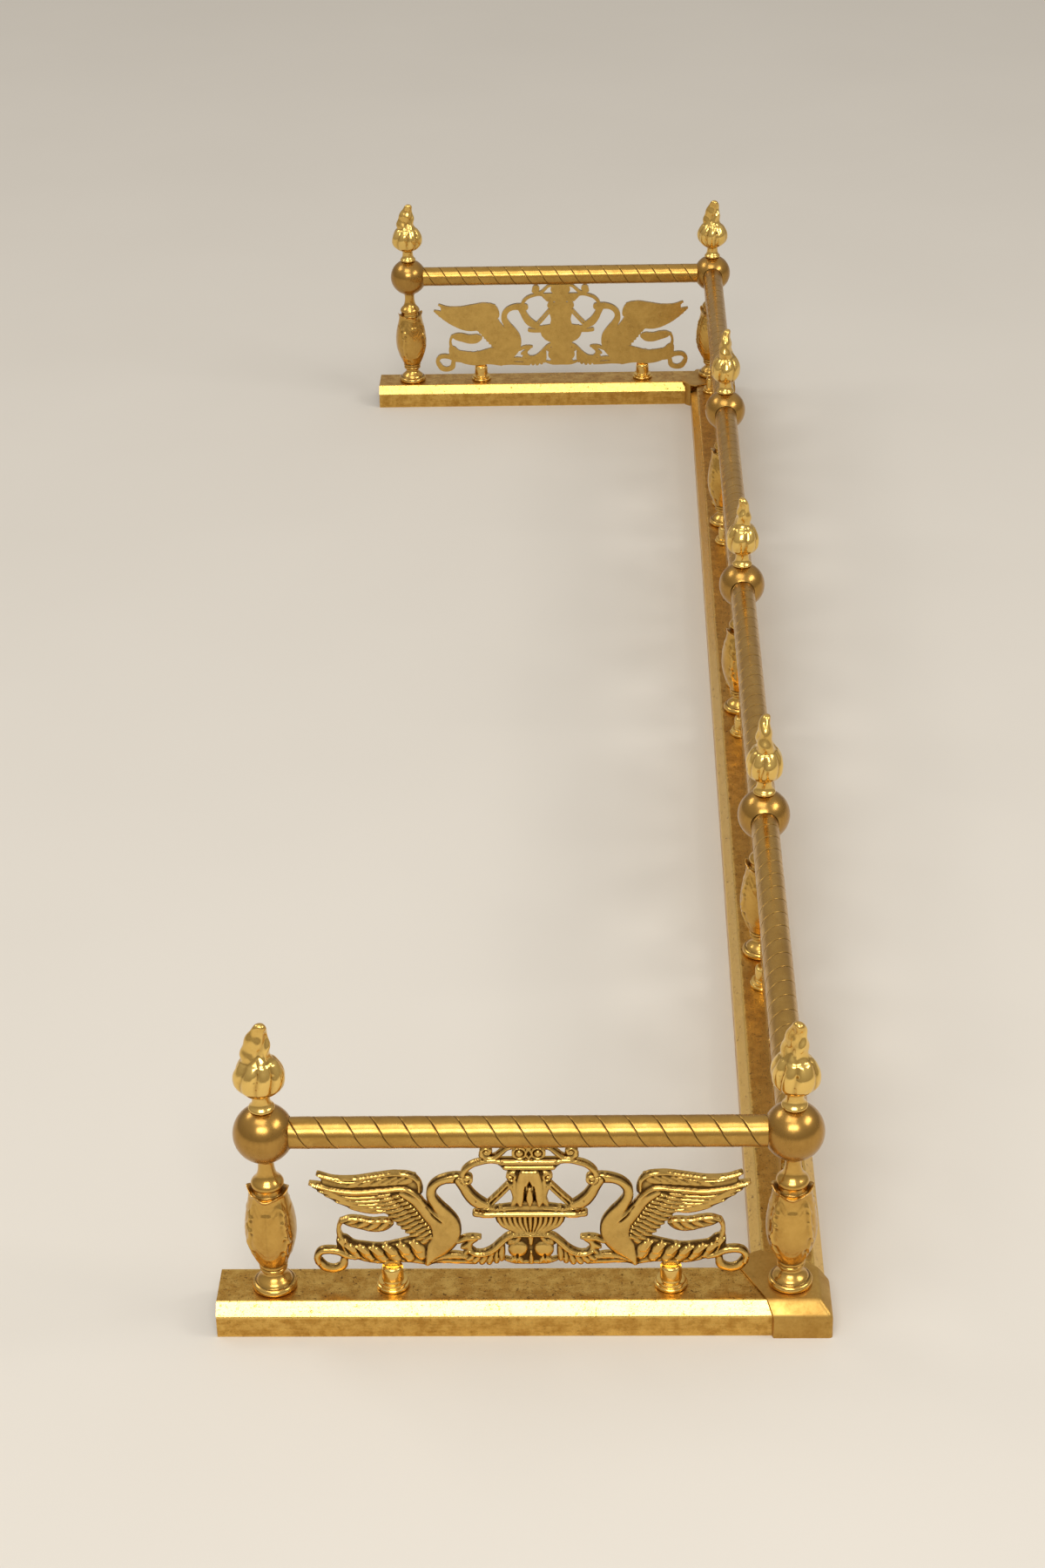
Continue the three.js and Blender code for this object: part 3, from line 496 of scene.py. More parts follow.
STUD_SIDES = 72
SLOT_WIDTH = 3.6
SLOT_DEPTH = 3.0

polished_brass = brass("polished_brass", bright=(0.88, 0.61, 0.19), aged=(0.60, 0.35, 0.08),
                       brown=(0.22, 0.12, 0.04), smooth=0.12, rough=0.34, cloud=150.0,
                       tarnish=0.6, spots=0.25, streaks=(90.0, 90.0, 1500.0), bump=0.06)


def finished_tree(tree, geometry, finish):
    """A tree's last steps: instances made real, the finish put on, and the result given out."""
    real = wire(tree, "GeometryNodeRealizeInstances", {"Geometry": geometry})
    skinned = wire(tree, "GeometryNodeSetMaterial", {"Geometry": real.outputs[0],
                                                     "Material": finish})
    result = tree.nodes.new("NodeGroupOutput")
    tree.links.new(skinned.outputs[0], result.inputs[0])
    return tree


def turned_stud_tree():
    """A profile is spun into a stud, slotted, and set at every place with that place's turn."""
    tree = named_tree("turned_studs", "GeometryNodeTree",
                      {"Places": "Geometry", "Profile": "Object", "Sides": "Int",
                       "Slot width": "Float", "Slot depth": "Float", "Top": "Float",
                       "Finish": "Material"}, {"Studs": "Geometry"})
    given = tree.nodes.new("NodeGroupInput").outputs
    drawn = wire(tree, "GeometryNodeObjectInfo", {"Object": given["Profile"]})
    line = wire(tree, "GeometryNodeMeshToCurve", {"Mesh": drawn.outputs["Geometry"]})
    ring = wire(tree, "GeometryNodeCurvePrimitiveCircle", {"Resolution": given["Sides"],
                                                           "Radius": 1.0})
    spun = wire(tree, "GeometryNodeCurveToMesh", {"Curve": ring.outputs["Curve"],
                                                  "Profile Curve": line.outputs["Curve"]})
    outward = wire(tree, "GeometryNodeFlipFaces", {"Mesh": spun.outputs["Mesh"]})
    whole = wire(tree, "GeometryNodeMergeByDistance", {"Geometry": outward.outputs["Mesh"],
                                                       "Distance": 1e-6})
    saw_depth = reckon(tree, "MULTIPLY", given["Slot depth"], 2.0)
    saw_size = wire(tree, "ShaderNodeCombineXYZ", {"X": 0.03, "Y": given["Slot width"],
                                                   "Z": saw_depth})
    saw = wire(tree, "GeometryNodeMeshCube", {"Size": saw_size.outputs[0]})
    lift = wire(tree, "ShaderNodeCombineXYZ", {"Z": given["Top"]})
    raised = wire(tree, "GeometryNodeTransform", {"Geometry": saw.outputs["Mesh"],
                                                  "Translation": lift.outputs[0]})
    cut = wire(tree, "GeometryNodeMeshBoolean", {"Mesh 1": whole.outputs["Geometry"],
                                                 "Mesh 2": raised.outputs["Geometry"]},
               operation="DIFFERENCE")
    turn = wire(tree, "GeometryNodeInputNamedAttribute", {"Name": "turn"}, data_type="FLOAT")
    about = wire(tree, "ShaderNodeCombineXYZ", {"Z": turn.outputs[0]})
    set_out = wire(tree, "GeometryNodeInstanceOnPoints",
                   {"Points": given["Places"], "Instance": cut.outputs["Mesh"],
                    "Rotation": about.outputs[0]})
    return finished_tree(tree, set_out.outputs[0], given["Finish"])


def grown(name, mesh, tree, amounts):
    """A piece made from a mesh by a geometry tree, left as a plain mesh."""
    piece = bpy.data.objects.new(name, mesh)
    bpy.context.scene.collection.objects.link(piece)
    grow = piece.modifiers.new("grow", "NODES")
    grow.node_group = tree
    for item in tree.interface.items_tree:
        if item.item_type == "SOCKET" and item.in_out == "INPUT" and item.name in amounts:
            grow[item.identifier] = amounts[item.name]
    bpy.context.view_layer.update()
    shown = piece.evaluated_get(bpy.context.evaluated_depsgraph_get())
    result = bpy.data.meshes.new_from_object(shown)
    piece.modifiers.clear()
    piece.data = result
    result.name = name
    smoothed(result, amounts["Finish"], 38)
    return piece


def stud_places():
    """Each stud's node, its place on the base's centre line, and its turn about Z."""
    places = []
    for bay, middle in FRONT_BAYS.items():
        for letter, side in (("a", -1), ("b", 1)):
            at = placed(PLACE_FRONT, [[middle + side * STUD_OFFSET["front"], 0, 0]])[0]
            places.append((f"stud_{bay}_{letter}", at, 0.0))
    for run, middle in ((PLACE_LEFT, -RETURN_MIDDLE), (PLACE_RIGHT, RETURN_MIDDLE)):
        for letter, side in (("a", -1), ("b", 1)):
            at = placed(run, [[middle + side * STUD_OFFSET["return"], 0, 0]])[0]
            places.append((f"stud_return_{run}_{letter}", at, math.pi / 2))
    return places


# The profile is drawn a metre in from the ring that it is spun on, which has that radius.
stud_line = bpy.data.meshes.new("stud_line")
stud_line.from_pydata([(radius / 1000 - 1.0, -height / 1000, 0) for radius, height in STUD_PROFILE],
                      [(i, i + 1) for i in range(len(STUD_PROFILE) - 1)], [])
stud_profile = bpy.data.objects.new("stud_profile", stud_line)
bpy.context.scene.collection.objects.link(stud_profile)
stud_points = bpy.data.meshes.new("stud_points")
stud_points.from_pydata([tuple(at / 1000) for _, at, _ in stud_places()], [], [])
turns = stud_points.attributes.new("turn", "FLOAT", "POINT")
turns.data.foreach_set("value", [turn for *_, turn in stud_places()])
studs = grown("studs", stud_points, turned_stud_tree(), {
    "Profile": stud_profile, "Sides": STUD_SIDES, "Slot width": SLOT_WIDTH / 1000,
    "Slot depth": SLOT_DEPTH / 1000, "Top": STUD_PROFILE[-1][1] / 1000,
    "Finish": polished_brass})
bpy.data.objects.remove(stud_profile)
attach(studs, "root")
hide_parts(*[name for name, *_ in stud_places()])


# ---- Balusters --------------------------------------------------------------------------------
# Seven brass castings, each cleaned up on the lathe at its foot and neck. Four broad leaves wrap
# the body, their margins meeting in ridges with thorny nicks, and their tips turn out in a crown
# round a bell. The feet are bright, the leaves softer, and the crown's inside dark.
BALUSTER_LINE = [
    # radius, height from the seat, how far it belongs to the leaves, to the crown, to a hollow
    (3.0, 0.0, 0, 0, 0), (12.4, 0.0, 0, 0, 0), (13.0, 0.25, 0, 0, 0), (13.4, 1.0, 0, 0, 0),
    (13.45, 2.2, 0, 0, 0), (13.1, 3.3, 0, 0, 0), (12.3, 4.1, 0, 0, 0), (11.5, 4.4, 0, 0, .7),
    (11.0, 4.6, 0, 0, .6), (10.7, 5.3, 0, 0, 0), (10.0, 6.3, 0, 0, 0), (8.7, 7.5, 0, 0, 0),
    (7.4, 8.8, 0, 0, 0), (6.5, 10.2, 0, 0, 0), (6.2, 11.5, 0, 0, 0), (6.3, 12.6, 0, 0, .3),
    (7.4, 12.9, 0, 0, .2), (8.2, 13.4, 0, 0, 0), (8.45, 14.2, 0, 0, 0), (8.2, 15.0, 0, 0, 0),
    (7.5, 15.5, 0, 0, .7), (7.6, 15.8, 0, 0, .7), (8.5, 16.2, 0, 0, 0), (8.8, 17.0, 0, 0, 0),
    (8.6, 17.8, 0, 0, 0), (8.4, 18.3, 0, 0, .8), (8.9, 18.9, .2, 0, .4), (9.5, 20.2, .5, 0, .1),
    (10.6, 22.6, .8, 0, 0), (12.0, 25.8, 1, 0, 0), (13.4, 29.4, 1, 0, 0), (14.6, 33.4, 1, 0, 0),
    (15.4, 37.8, 1, 0, 0), (15.7, 42.2, 1, 0, 0), (15.6, 46.4, 1, 0, 0), (15.2, 50.4, 1, 0, 0),
    (14.6, 54.4, 1, 0, 0), (13.7, 58.4, 1, .05, 0), (12.7, 62.0, .8, .15, 0),
    (11.9, 64.8, .5, .3, 0), (11.3, 67.0, .3, .5, 0), (11.1, 68.6, .1, .75, 0),
    (11.2, 69.7, 0, 1, .1), (11.5, 70.3, 0, 1, 0), (11.6, 70.8, 0, 1, 0), (11.2, 71.1, 0, .95, 0),
    (10.7, 70.9, 0, .8, .1), (10.2, 70.5, 0, .45, .5), (9.5, 70.4, 0, .1, .6),
    (9.1, 71.0, 0, 0, .5), (9.0, 72.0, 0, 0, .25), (9.0, 73.0, 0, 0, .1),
    (9.1, 73.7, 0, 0, .1), (9.2, 74.2, 0, 0, .3), (9.5, 74.7, 0, 0, 0), (9.8, 75.1, 0, 0, 0),
    (9.9, 75.9, 0, 0, 0), (9.6, 77.0, 0, 0, 0), (8.7, 78.4, 0, 0, 0), (7.4, 79.8, 0, 0, 0),
    (6.3, 81.4, 0, 0, 0), (5.5, 83.6, 0, 0, 0), (5.0, 86.2, 0, 0, 0), (4.8, 89.0, 0, 0, 0),
    (4.9, 91.2, 0, 0, 0), (5.3, 92.6, 0, 0, 0), (5.7, 93.1, 0, 0, 0), (5.7, 93.7, 0, 0, .6),
    (3.0, 93.7, 0, 0, 0),
]
BALUSTER_DRAWN = 93.7
BALUSTER_TOP = 116.12
BALUSTER_STEP = 0.62
BALUSTER_SIDES = 128
BORE_EDGE = 3.1
THORNS = [(31.0, 0.5), (38.5, 0.9), (50.0, 1.0), (60.0, 0.9)]
CROWN_DROOP = np.array([0.6, 1.6, -2.6, 1.2])
SEAT_GAP = 0.3

leaf_brass = brass("leaf_brass", bright=(0.68, 0.42, 0.11), aged=(0.42, 0.22, 0.042),
                   brown=(0.085, 0.038, 0.01), smooth=0.15, rough=0.32, cloud=60.0, tarnish=0.6,
                   spots=0.3, streaks=(160.0, 160.0, 160.0), hollow="hollow", worn="worn",
                   bump=0.12)


def smooth_line(points, step):
    """Rows of numbers carried smoothly through the given rows, about `step` apart."""
    rows = np.asarray(points, float)
    gap = np.maximum(np.hypot(np.diff(rows[:, 0]), np.diff(rows[:, 1])), 1e-6)
    at = np.concatenate([[0], np.cumsum(gap)])
    slope = np.gradient(rows, at, axis=0)
    made = []
    for i, length in enumerate(gap):
        u = np.linspace(0, 1, max(1, int(round(length / step))) + 1)[:-1, None]
        made.append((2 * u**3 - 3 * u**2 + 1) * rows[i] + (u**3 - 2 * u**2 + u) * length * slope[i]
                    + (3 * u**2 - 2 * u**3) * rows[i + 1] + (u**3 - u**2) * length * slope[i + 1])
    return np.vstack([*made, rows[-1:]])


def near(value, centre, spread):
    """A smooth bump of 1 at the centre."""
    return np.exp(-((value - centre) / spread) ** 2)


def baluster(number, x, y, seat, turn):
    """A casting spun from its line, then carved round: ridges, thorns, veins and the crown."""
    line = smooth_line(BALUSTER_LINE, BALUSTER_STEP)
    radius, height, leaf, crown, hollow = [column[:, None] for column in line.T]
    leaf, crown, hollow = (np.clip(part, 0, 1) for part in (leaf, crown, hollow))
    # the sides stand closer where two leaves meet
    angle = np.arange(BALUSTER_SIDES) / BALUSTER_SIDES * 2 * math.pi
    angle = (angle - 0.11 * np.sin(4 * angle + math.pi))[None, :]
    # `off` is the distance round the body from the nearest meeting of two leaves
    quarter = math.pi / 2
    leaf_number = np.floor((angle + turn) / quarter)
    off = (angle + turn) % quarter - quarter / 2
    off = (off + 0.035 * np.sin(height / 3.1 + 2 * leaf_number)) * radius
    ridge = 0.50 * near(off, 0, 1.3) - 0.22 * near(off, 2.2, 1.1) - 0.22 * near(off, -2.2, 1.1)
    side = np.tanh(off / 0.8)
    # no two meetings alike: the nicks ride higher or lower, and stand out more or less
    meeting = leaf_number + 0.37 * number
    along = height + 2.2 * side + 2.4 * np.sin(2.1 * meeting) + 1.2 * np.sin(height / 5 + meeting)
    bold = 0.85 + 0.4 * np.sin(1.7 * meeting + 0.35 * height / 3)
    nicks = bold * sum(rise * near(along, level, 1.3) * near(np.abs(off), 1.1, 1.6)
                       for level, rise in THORNS)
    furrow = bold * sum(0.5 * near(along, level - 2.3, 0.9) * near(np.abs(off), 1.2, 1.5)
                        for level, _ in THORNS)
    # `across` is the distance round the body from the middle of the leaf, where its vein runs
    mid = (angle + turn + quarter / 2) % quarter - quarter / 2
    across = mid * radius
    vein = -0.13 * near(across, 0, 0.5)
    rib_wave = np.sin((height - 1.4 * np.abs(mid) * radius) * 1.15)
    veins = 0.07 * rib_wave * near(np.abs(across), 4.6, 3.4)
    fold = 0.55 * near(height + 0.10 * across**2, 59.5, 1.3) * near(across, 0, 3.0)
    fold = fold + 0.35 * near(height - 0.08 * across**2, 27.0, 1.5) * near(across, 0, 3.2)
    flat = -0.34 * np.cos(4 * (angle + turn)) * (radius / 15.7)
    carved = leaf * (ridge + nicks - furrow + vein + veins + flat + fold)
    # the crown: four tips that rise and turn out, the lip dipping between them
    tip = (0.5 + 0.5 * np.cos(4 * (angle + turn))) ** 1.6
    droop = CROWN_DROOP[np.floor((angle + turn) / quarter + 0.5).astype(int) % 4]
    out = crown * (1.5 * tip - 0.3 + 0.12 * np.sin(9 * angle + 1))
    up = crown * (1.9 * tip - 0.7 + droop * tip + 0.12 * np.sin(11 * angle + 2))
    made = radius + carved + np.where(radius > BORE_EDGE, out, 0)
    spread = (BALUSTER_TOP - seat) / BALUSTER_DRAWN
    level = seat + (height + up) * spread
    points = np.stack([x + made * np.cos(angle), y + made * np.sin(angle), level], -1)
    ring = np.arange(BALUSTER_SIDES)
    caps = np.array([ring[::-1], (len(line) - 1) * BALUSTER_SIDES + ring])
    # brown lies beside the ridges, in the furrows and the veins; the thorns, the crown's lip and
    # the foot's edge are rubbed
    beside = 0.5 * near(np.abs(off), 2.0, 1.2) * (0.5 + furrow) + 0.4 * furrow
    dark = np.clip(hollow + leaf * np.clip(beside, 0, 1) + 0.25 * leaf * near(across, 0, 0.5), 0, 1)
    lip = near(crown, 1, 0.05) * (radius > 11.7)
    rub = np.clip(leaf * (nicks + 0.5 * near(off, 0, 0.7)) + lip, 0, 1)
    rub = np.clip(rub + 0.8 * (radius > 12.6) * (height < 5), 0, 1)
    piece = metal_piece(f"leafed_baluster_{number}", points.reshape(-1, 3),
                        [grid_faces(len(line), BALUSTER_SIDES), caps], leaf_brass, sharp=60,
                        values={"hollow": dark.ravel(), "worn": rub.ravel()})
    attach(piece, "root")
    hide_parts(f"baluster_{number}")


LEAF_TURNS = [0.06, 0.04, 0.3, -0.25, 0.1, 0.5, -0.35]
POSTS = [(1, -CORNER, FRONT_LINE + RETURN_BAY)]
POSTS += [(i + 2, -CORNER + BAY * i, FRONT_LINE) for i in range(5)]
POSTS += [(7, CORNER, FRONT_LINE + RETURN_BAY)]
for number, x, y in POSTS:
    seat = (CAP_TOP if number in (2, 6) else BASE_TOP) + SEAT_GAP
    baluster(number, x, y, seat, turn=LEAF_TURNS[number - 1])


# ---- Balls ------------------------------------------------------------------------------------
# A ball of satin brass on each post, turned from the solid and drilled towards each rail, so that
# the rail's end goes into it. It is flat where the baluster and the finial's collar sit.
BALL_RADIUS = 18.2
RAIL_Z = 133.6
BALL_SEAT = 17.18
SOCKET_RADIUS = 9.8
SOCKET_FLOOR = 11.2
SOCKET_SIDES = 60
BALL_SIDES = 80
BALL_ROWS = 41
DRILL_REACH = 30.0

satin_brass = brass("satin_brass", bright=(0.50, 0.287, 0.074), aged=(0.32, 0.168, 0.037),
                    brown=(0.11, 0.048, 0.012), smooth=0.17, rough=0.36, cloud=60.0, tarnish=0.6,
                    spots=0.3, streaks=(500.0, 500.0, 60.0), bump=0.06)


def ball(number, x, y, towards):
    """A ball with a drilled socket for each rail that meets it."""
    seat = math.asin(BALL_SEAT / BALL_RADIUS)
    lift = np.linspace(-seat, seat, BALL_ROWS)
    ring = np.arange(BALL_SIDES)
    around = ring / BALL_SIDES * 2 * math.pi
    radius = BALL_RADIUS * np.cos(lift)[:, None]
    points = np.stack([radius * np.cos(around), radius * np.sin(around),
                       BALL_RADIUS * np.sin(lift)[:, None] + 0 * around], -1).reshape(-1, 3)
    caps = [tuple(ring[::-1]), tuple((BALL_ROWS - 1) * BALL_SIDES + ring)]
    sphere = loose("sphere", points, [*grid_faces(BALL_ROWS, BALL_SIDES), *caps])
    turn = np.linspace(0, 2 * math.pi, SOCKET_SIDES + 1)[:-1]
    rim = [(SOCKET_RADIUS * math.cos(a), SOCKET_RADIUS * math.sin(a)) for a in turn]
    for direction in towards:
        drill = upright_prism("drill", rim, SOCKET_FLOOR, DRILL_REACH)
        # the drill is laid down along the rail's line
        across, level, out = points_of(drill.data).T
        c, s = math.cos(direction), math.sin(direction)
        laid = np.column_stack([out * c - across * s, out * s + across * c, level])
        drill.data.vertices.foreach_set("co", laid.ravel())
        sphere = combined(sphere, drill, "DIFFERENCE")
    mesh = sphere.data
    mesh.vertices.foreach_set("co", ((points_of(mesh) + [x, y, RAIL_Z]) / 1000).ravel())
    smoothed(mesh, satin_brass, 35)
    sphere.name = mesh.name = f"drilled_ball_{number}"
    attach(sphere, "root")
    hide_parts(f"ball_{number}")


EAST, NORTH, WEST, SOUTH = 0.0, math.pi / 2, math.pi, -math.pi / 2
TOWARDS = {1: [SOUTH], 2: [NORTH, EAST], 3: [WEST, EAST], 4: [WEST, EAST], 5: [WEST, EAST],
           6: [WEST, NORTH], 7: [SOUTH]}
for number, x, y in POSTS:
    ball(number, x, y, TOWARDS[number])


# ---- Rails ------------------------------------------------------------------------------------
# Six brass tubes, one over each bay, their ends home in the balls' sockets. Two fine creases wind
# along each one, pressed in as the tube was drawn through its die, and they hold old brown polish.
RAIL_RADIUS = 9.5
RAIL_END = 11.5
CREASE_LEAD = 33.0
CREASE_DEPTH = 0.36
CREASE_WIDTH = 0.068
RAIL_SIDES = 44

rail_brass = brass("rail_brass", bright=(0.60, 0.365, 0.093), aged=(0.37, 0.195, 0.038),
                   brown=(0.09, 0.045, 0.014), smooth=0.2, rough=0.38, cloud=46.0, tarnish=0.65,
                   spots=0.3, streaks=(120.0, 120.0, 120.0), hollow="crease", bump=0.08)


def creased_tube_tree():
    """A tube whose section, round but for two creases, turns as it goes along. The section's
    points stand closer at the creases, and each point's crease is kept for the finish."""
    tree = named_tree("creased_tube", "GeometryNodeTree",
                      {"Radius": "Float", "Length": "Float", "Lead": "Float",
                       "Crease depth": "Float", "Crease width": "Float", "Rows": "Int",
                       "Sides": "Int", "Finish": "Material"}, {"Tube": "Geometry"})
    given = tree.nodes.new("NodeGroupInput").outputs
    plain = wire(tree, "GeometryNodeMeshCylinder",
                 {"Vertices": given["Sides"], "Side Segments": given["Rows"],
                  "Radius": given["Radius"], "Depth": given["Length"]},
                 fill_type="TRIANGLE_FAN")
    position = wire(tree, "GeometryNodeInputPosition").outputs[0]
    across, out, along = wire(tree, "ShaderNodeSeparateXYZ", {0: position}).outputs
    angle = reckon(tree, "ARCTAN2", out, across)
    reach = reckon(tree, "SQRT", reckon(tree, "ADD", reckon(tree, "MULTIPLY", across, across),
                                        reckon(tree, "MULTIPLY", out, out)))
    double = reckon(tree, "SINE", reckon(tree, "MULTIPLY", angle, 2.0))
    gathered = reckon(tree, "SUBTRACT", angle, reckon(tree, "MULTIPLY", 0.41, double))
    off = reckon(tree, "DIVIDE", reckon(tree, "SINE", gathered), given["Crease width"])
    squared = reckon(tree, "MULTIPLY", off, off)
    crease = reckon(tree, "EXPONENT", reckon(tree, "MULTIPLY", squared, -1.0))
    # one side of a crease stands a little higher than the other, as on a twisted bar
    swell = reckon(tree, "MULTIPLY", 0.12,
                   reckon(tree, "SINE", reckon(tree, "MULTIPLY", gathered, 2.0)))
    sunk = reckon(tree, "MULTIPLY", crease, given["Crease depth"])
    lifted = reckon(tree, "MULTIPLY", swell, given["Crease depth"])
    shape = reckon(tree, "DIVIDE", reckon(tree, "SUBTRACT", lifted, sunk), given["Radius"])
    scaled = reckon(tree, "MULTIPLY", reach, reckon(tree, "ADD", 1.0, shape))
    turned = reckon(tree, "MULTIPLY_ADD", reckon(tree, "DIVIDE", along, given["Lead"]),
                    2 * math.pi, gathered)
    moved = wire(tree, "ShaderNodeCombineXYZ",
                 {"X": reckon(tree, "MULTIPLY", scaled, reckon(tree, "COSINE", turned)),
                  "Y": reckon(tree, "MULTIPLY", scaled, reckon(tree, "SINE", turned)), "Z": along})
    marked = wire(tree, "GeometryNodeStoreNamedAttribute",
                  {"Geometry": plain.outputs["Mesh"], "Name": "crease", "Value": crease},
                  data_type="FLOAT", domain="POINT")
    shaped = wire(tree, "GeometryNodeSetPosition", {"Geometry": marked.outputs[0],
                                                    "Position": moved.outputs[0]})
    return finished_tree(tree, shaped.outputs[0], given["Finish"])


creased_tube = creased_tube_tree()


def rail(name, run, middle, bay):
    """A tube grown along Z, then laid along its bay at the height of the balls' centres."""
    length = bay - 2 * RAIL_END
    piece = grown(f"creased_{name}", bpy.data.meshes.new(name), creased_tube, {
        "Radius": RAIL_RADIUS / 1000, "Length": length / 1000, "Lead": CREASE_LEAD / 1000,
        "Crease depth": CREASE_DEPTH / 1000, "Crease width": CREASE_WIDTH, "Rows": int(length),
        "Sides": RAIL_SIDES, "Finish": rail_brass})
    mesh = piece.data
    across, out, along = points_of(mesh).T * 1000
    laid = placed(run, np.column_stack([along + middle, across, out + RAIL_Z]))
    mesh.vertices.foreach_set("co", (laid / 1000).ravel())
    mesh.update()
    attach(piece, "root")
    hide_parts(name)


for bay, middle in FRONT_BAYS.items():
    rail(f"rail_{bay}", PLACE_FRONT, middle, BAY)
rail("rail_return_left", PLACE_LEFT, -RETURN_MIDDLE, RETURN_BAY)
rail("rail_return_right", PLACE_RIGHT, RETURN_MIDDLE, RETURN_BAY)


# ---- Pierced castings -------------------------------------------------------------------------
# Six brass castings, one under each rail: two swans beside an urn, in relief towards the room and
# filed flat behind. Each stands by two tongues in the studs' slots, with a pin up into the rail.
# The high points are rubbed bright and the hollows hold brown polish.
CASTING_FOOT_Z = 37.6
CASTING_LIFT = 0.99653
CASTING_STRETCH = {"return": 0.99466, "front": 1.00307}
CASTING_HALF = {"return": 131.8, "front": 163.6}
CASTING_HEIGHTS = (-7.8, 88.2)
CASTING_BACK = 2.5
CASTING_PITCH = 0.42
CASTING_EDGE = 1.9
CASTING_THICKEST = 5.0
OUTSIDE = -9.0
BLEND_RISE = 1.2
CURVE_STEP = 1.2
RIB_STEP = 0.8
FIELD_STEP = 1.5
TONGUE = (4.5, 1.5, 34.6, 40.6)
PIN_SIDES = 24
PIN_RADIUS = 2.0
PIN_ENDS = (121.8, 127.1)

cast_brass = brass("cast_brass", bright=(0.70, 0.455, 0.13), aged=(0.36, 0.205, 0.045),
                   brown=(0.085, 0.042, 0.011), smooth=0.16, rough=0.36, cloud=60.0, tarnish=0.55,
                   spots=0.3, streaks=(220.0, 220.0, 220.0), hollow="hollow", worn="worn",
                   bump=0.10)


def drawn_line(points, step=CURVE_STEP):
    """A smooth line through the points of a mark; every column is carried along."""
    p = np.array(points, float)
    if len(p) < 3:
        count = max(2, int(np.ceil(np.hypot(*(p[1] - p[0])[:2]) / step)) + 1)
        return p[0] + (p[1] - p[0]) * np.linspace(0, 1, count)[:, None]
    gap = np.maximum(np.hypot(*np.diff(p[:, :2], axis=0).T), 1e-6)
    at = np.concatenate([[0], np.cumsum(gap)])
    slope = np.gradient(p, at, axis=0)
    line = []
    for i, length in enumerate(gap):
        u = np.linspace(0, 1, max(2, int(np.ceil(length / step)) + 1))[:-1, None]
        line.append((2 * u**3 - 3 * u**2 + 1) * p[i] + (u**3 - 2 * u**2 + u) * length * slope[i]
                    + (3 * u**2 - 2 * u**3) * p[i + 1] + (u**3 - u**2) * length * slope[i + 1])
    return np.vstack(line + [p[-1:]])


def curl(x, t, start, turns, r0, r1, w0, w1, steps=14):
    """A volute's line, winding in from radius r0 at `start` degrees to r1."""
    u = np.linspace(0, 1, steps)
    a = np.radians(start + 360 * turns * u)
    r = r0 + (r1 - r0) * u
    return np.column_stack([x + r * np.cos(a), t + r * np.sin(a), w0 + (w1 - w0) * u])


def bead(x, t, r):
    """A round bead, as a line too short to be seen as one."""
    return [(x - 0.01, t, r), (x + 0.01, t, r)]


def leafy(x0, t0, x1, t1, w, bow=0.0):
    """A short feather or leaf lobe from its root to its pointed end."""
    dx, dt = x1 - x0, t1 - t0
    nx, nt = -dt * bow, dx * bow
    return [(x0, t0, w * 0.6), (x0 + dx * 0.35 + nx, t0 + dt * 0.35 + nt, w),
            (x0 + dx * 0.75 + nx * 0.7, t0 + dt * 0.75 + nt * 0.7, w * 0.8), (x1, t1, w * 0.25)]


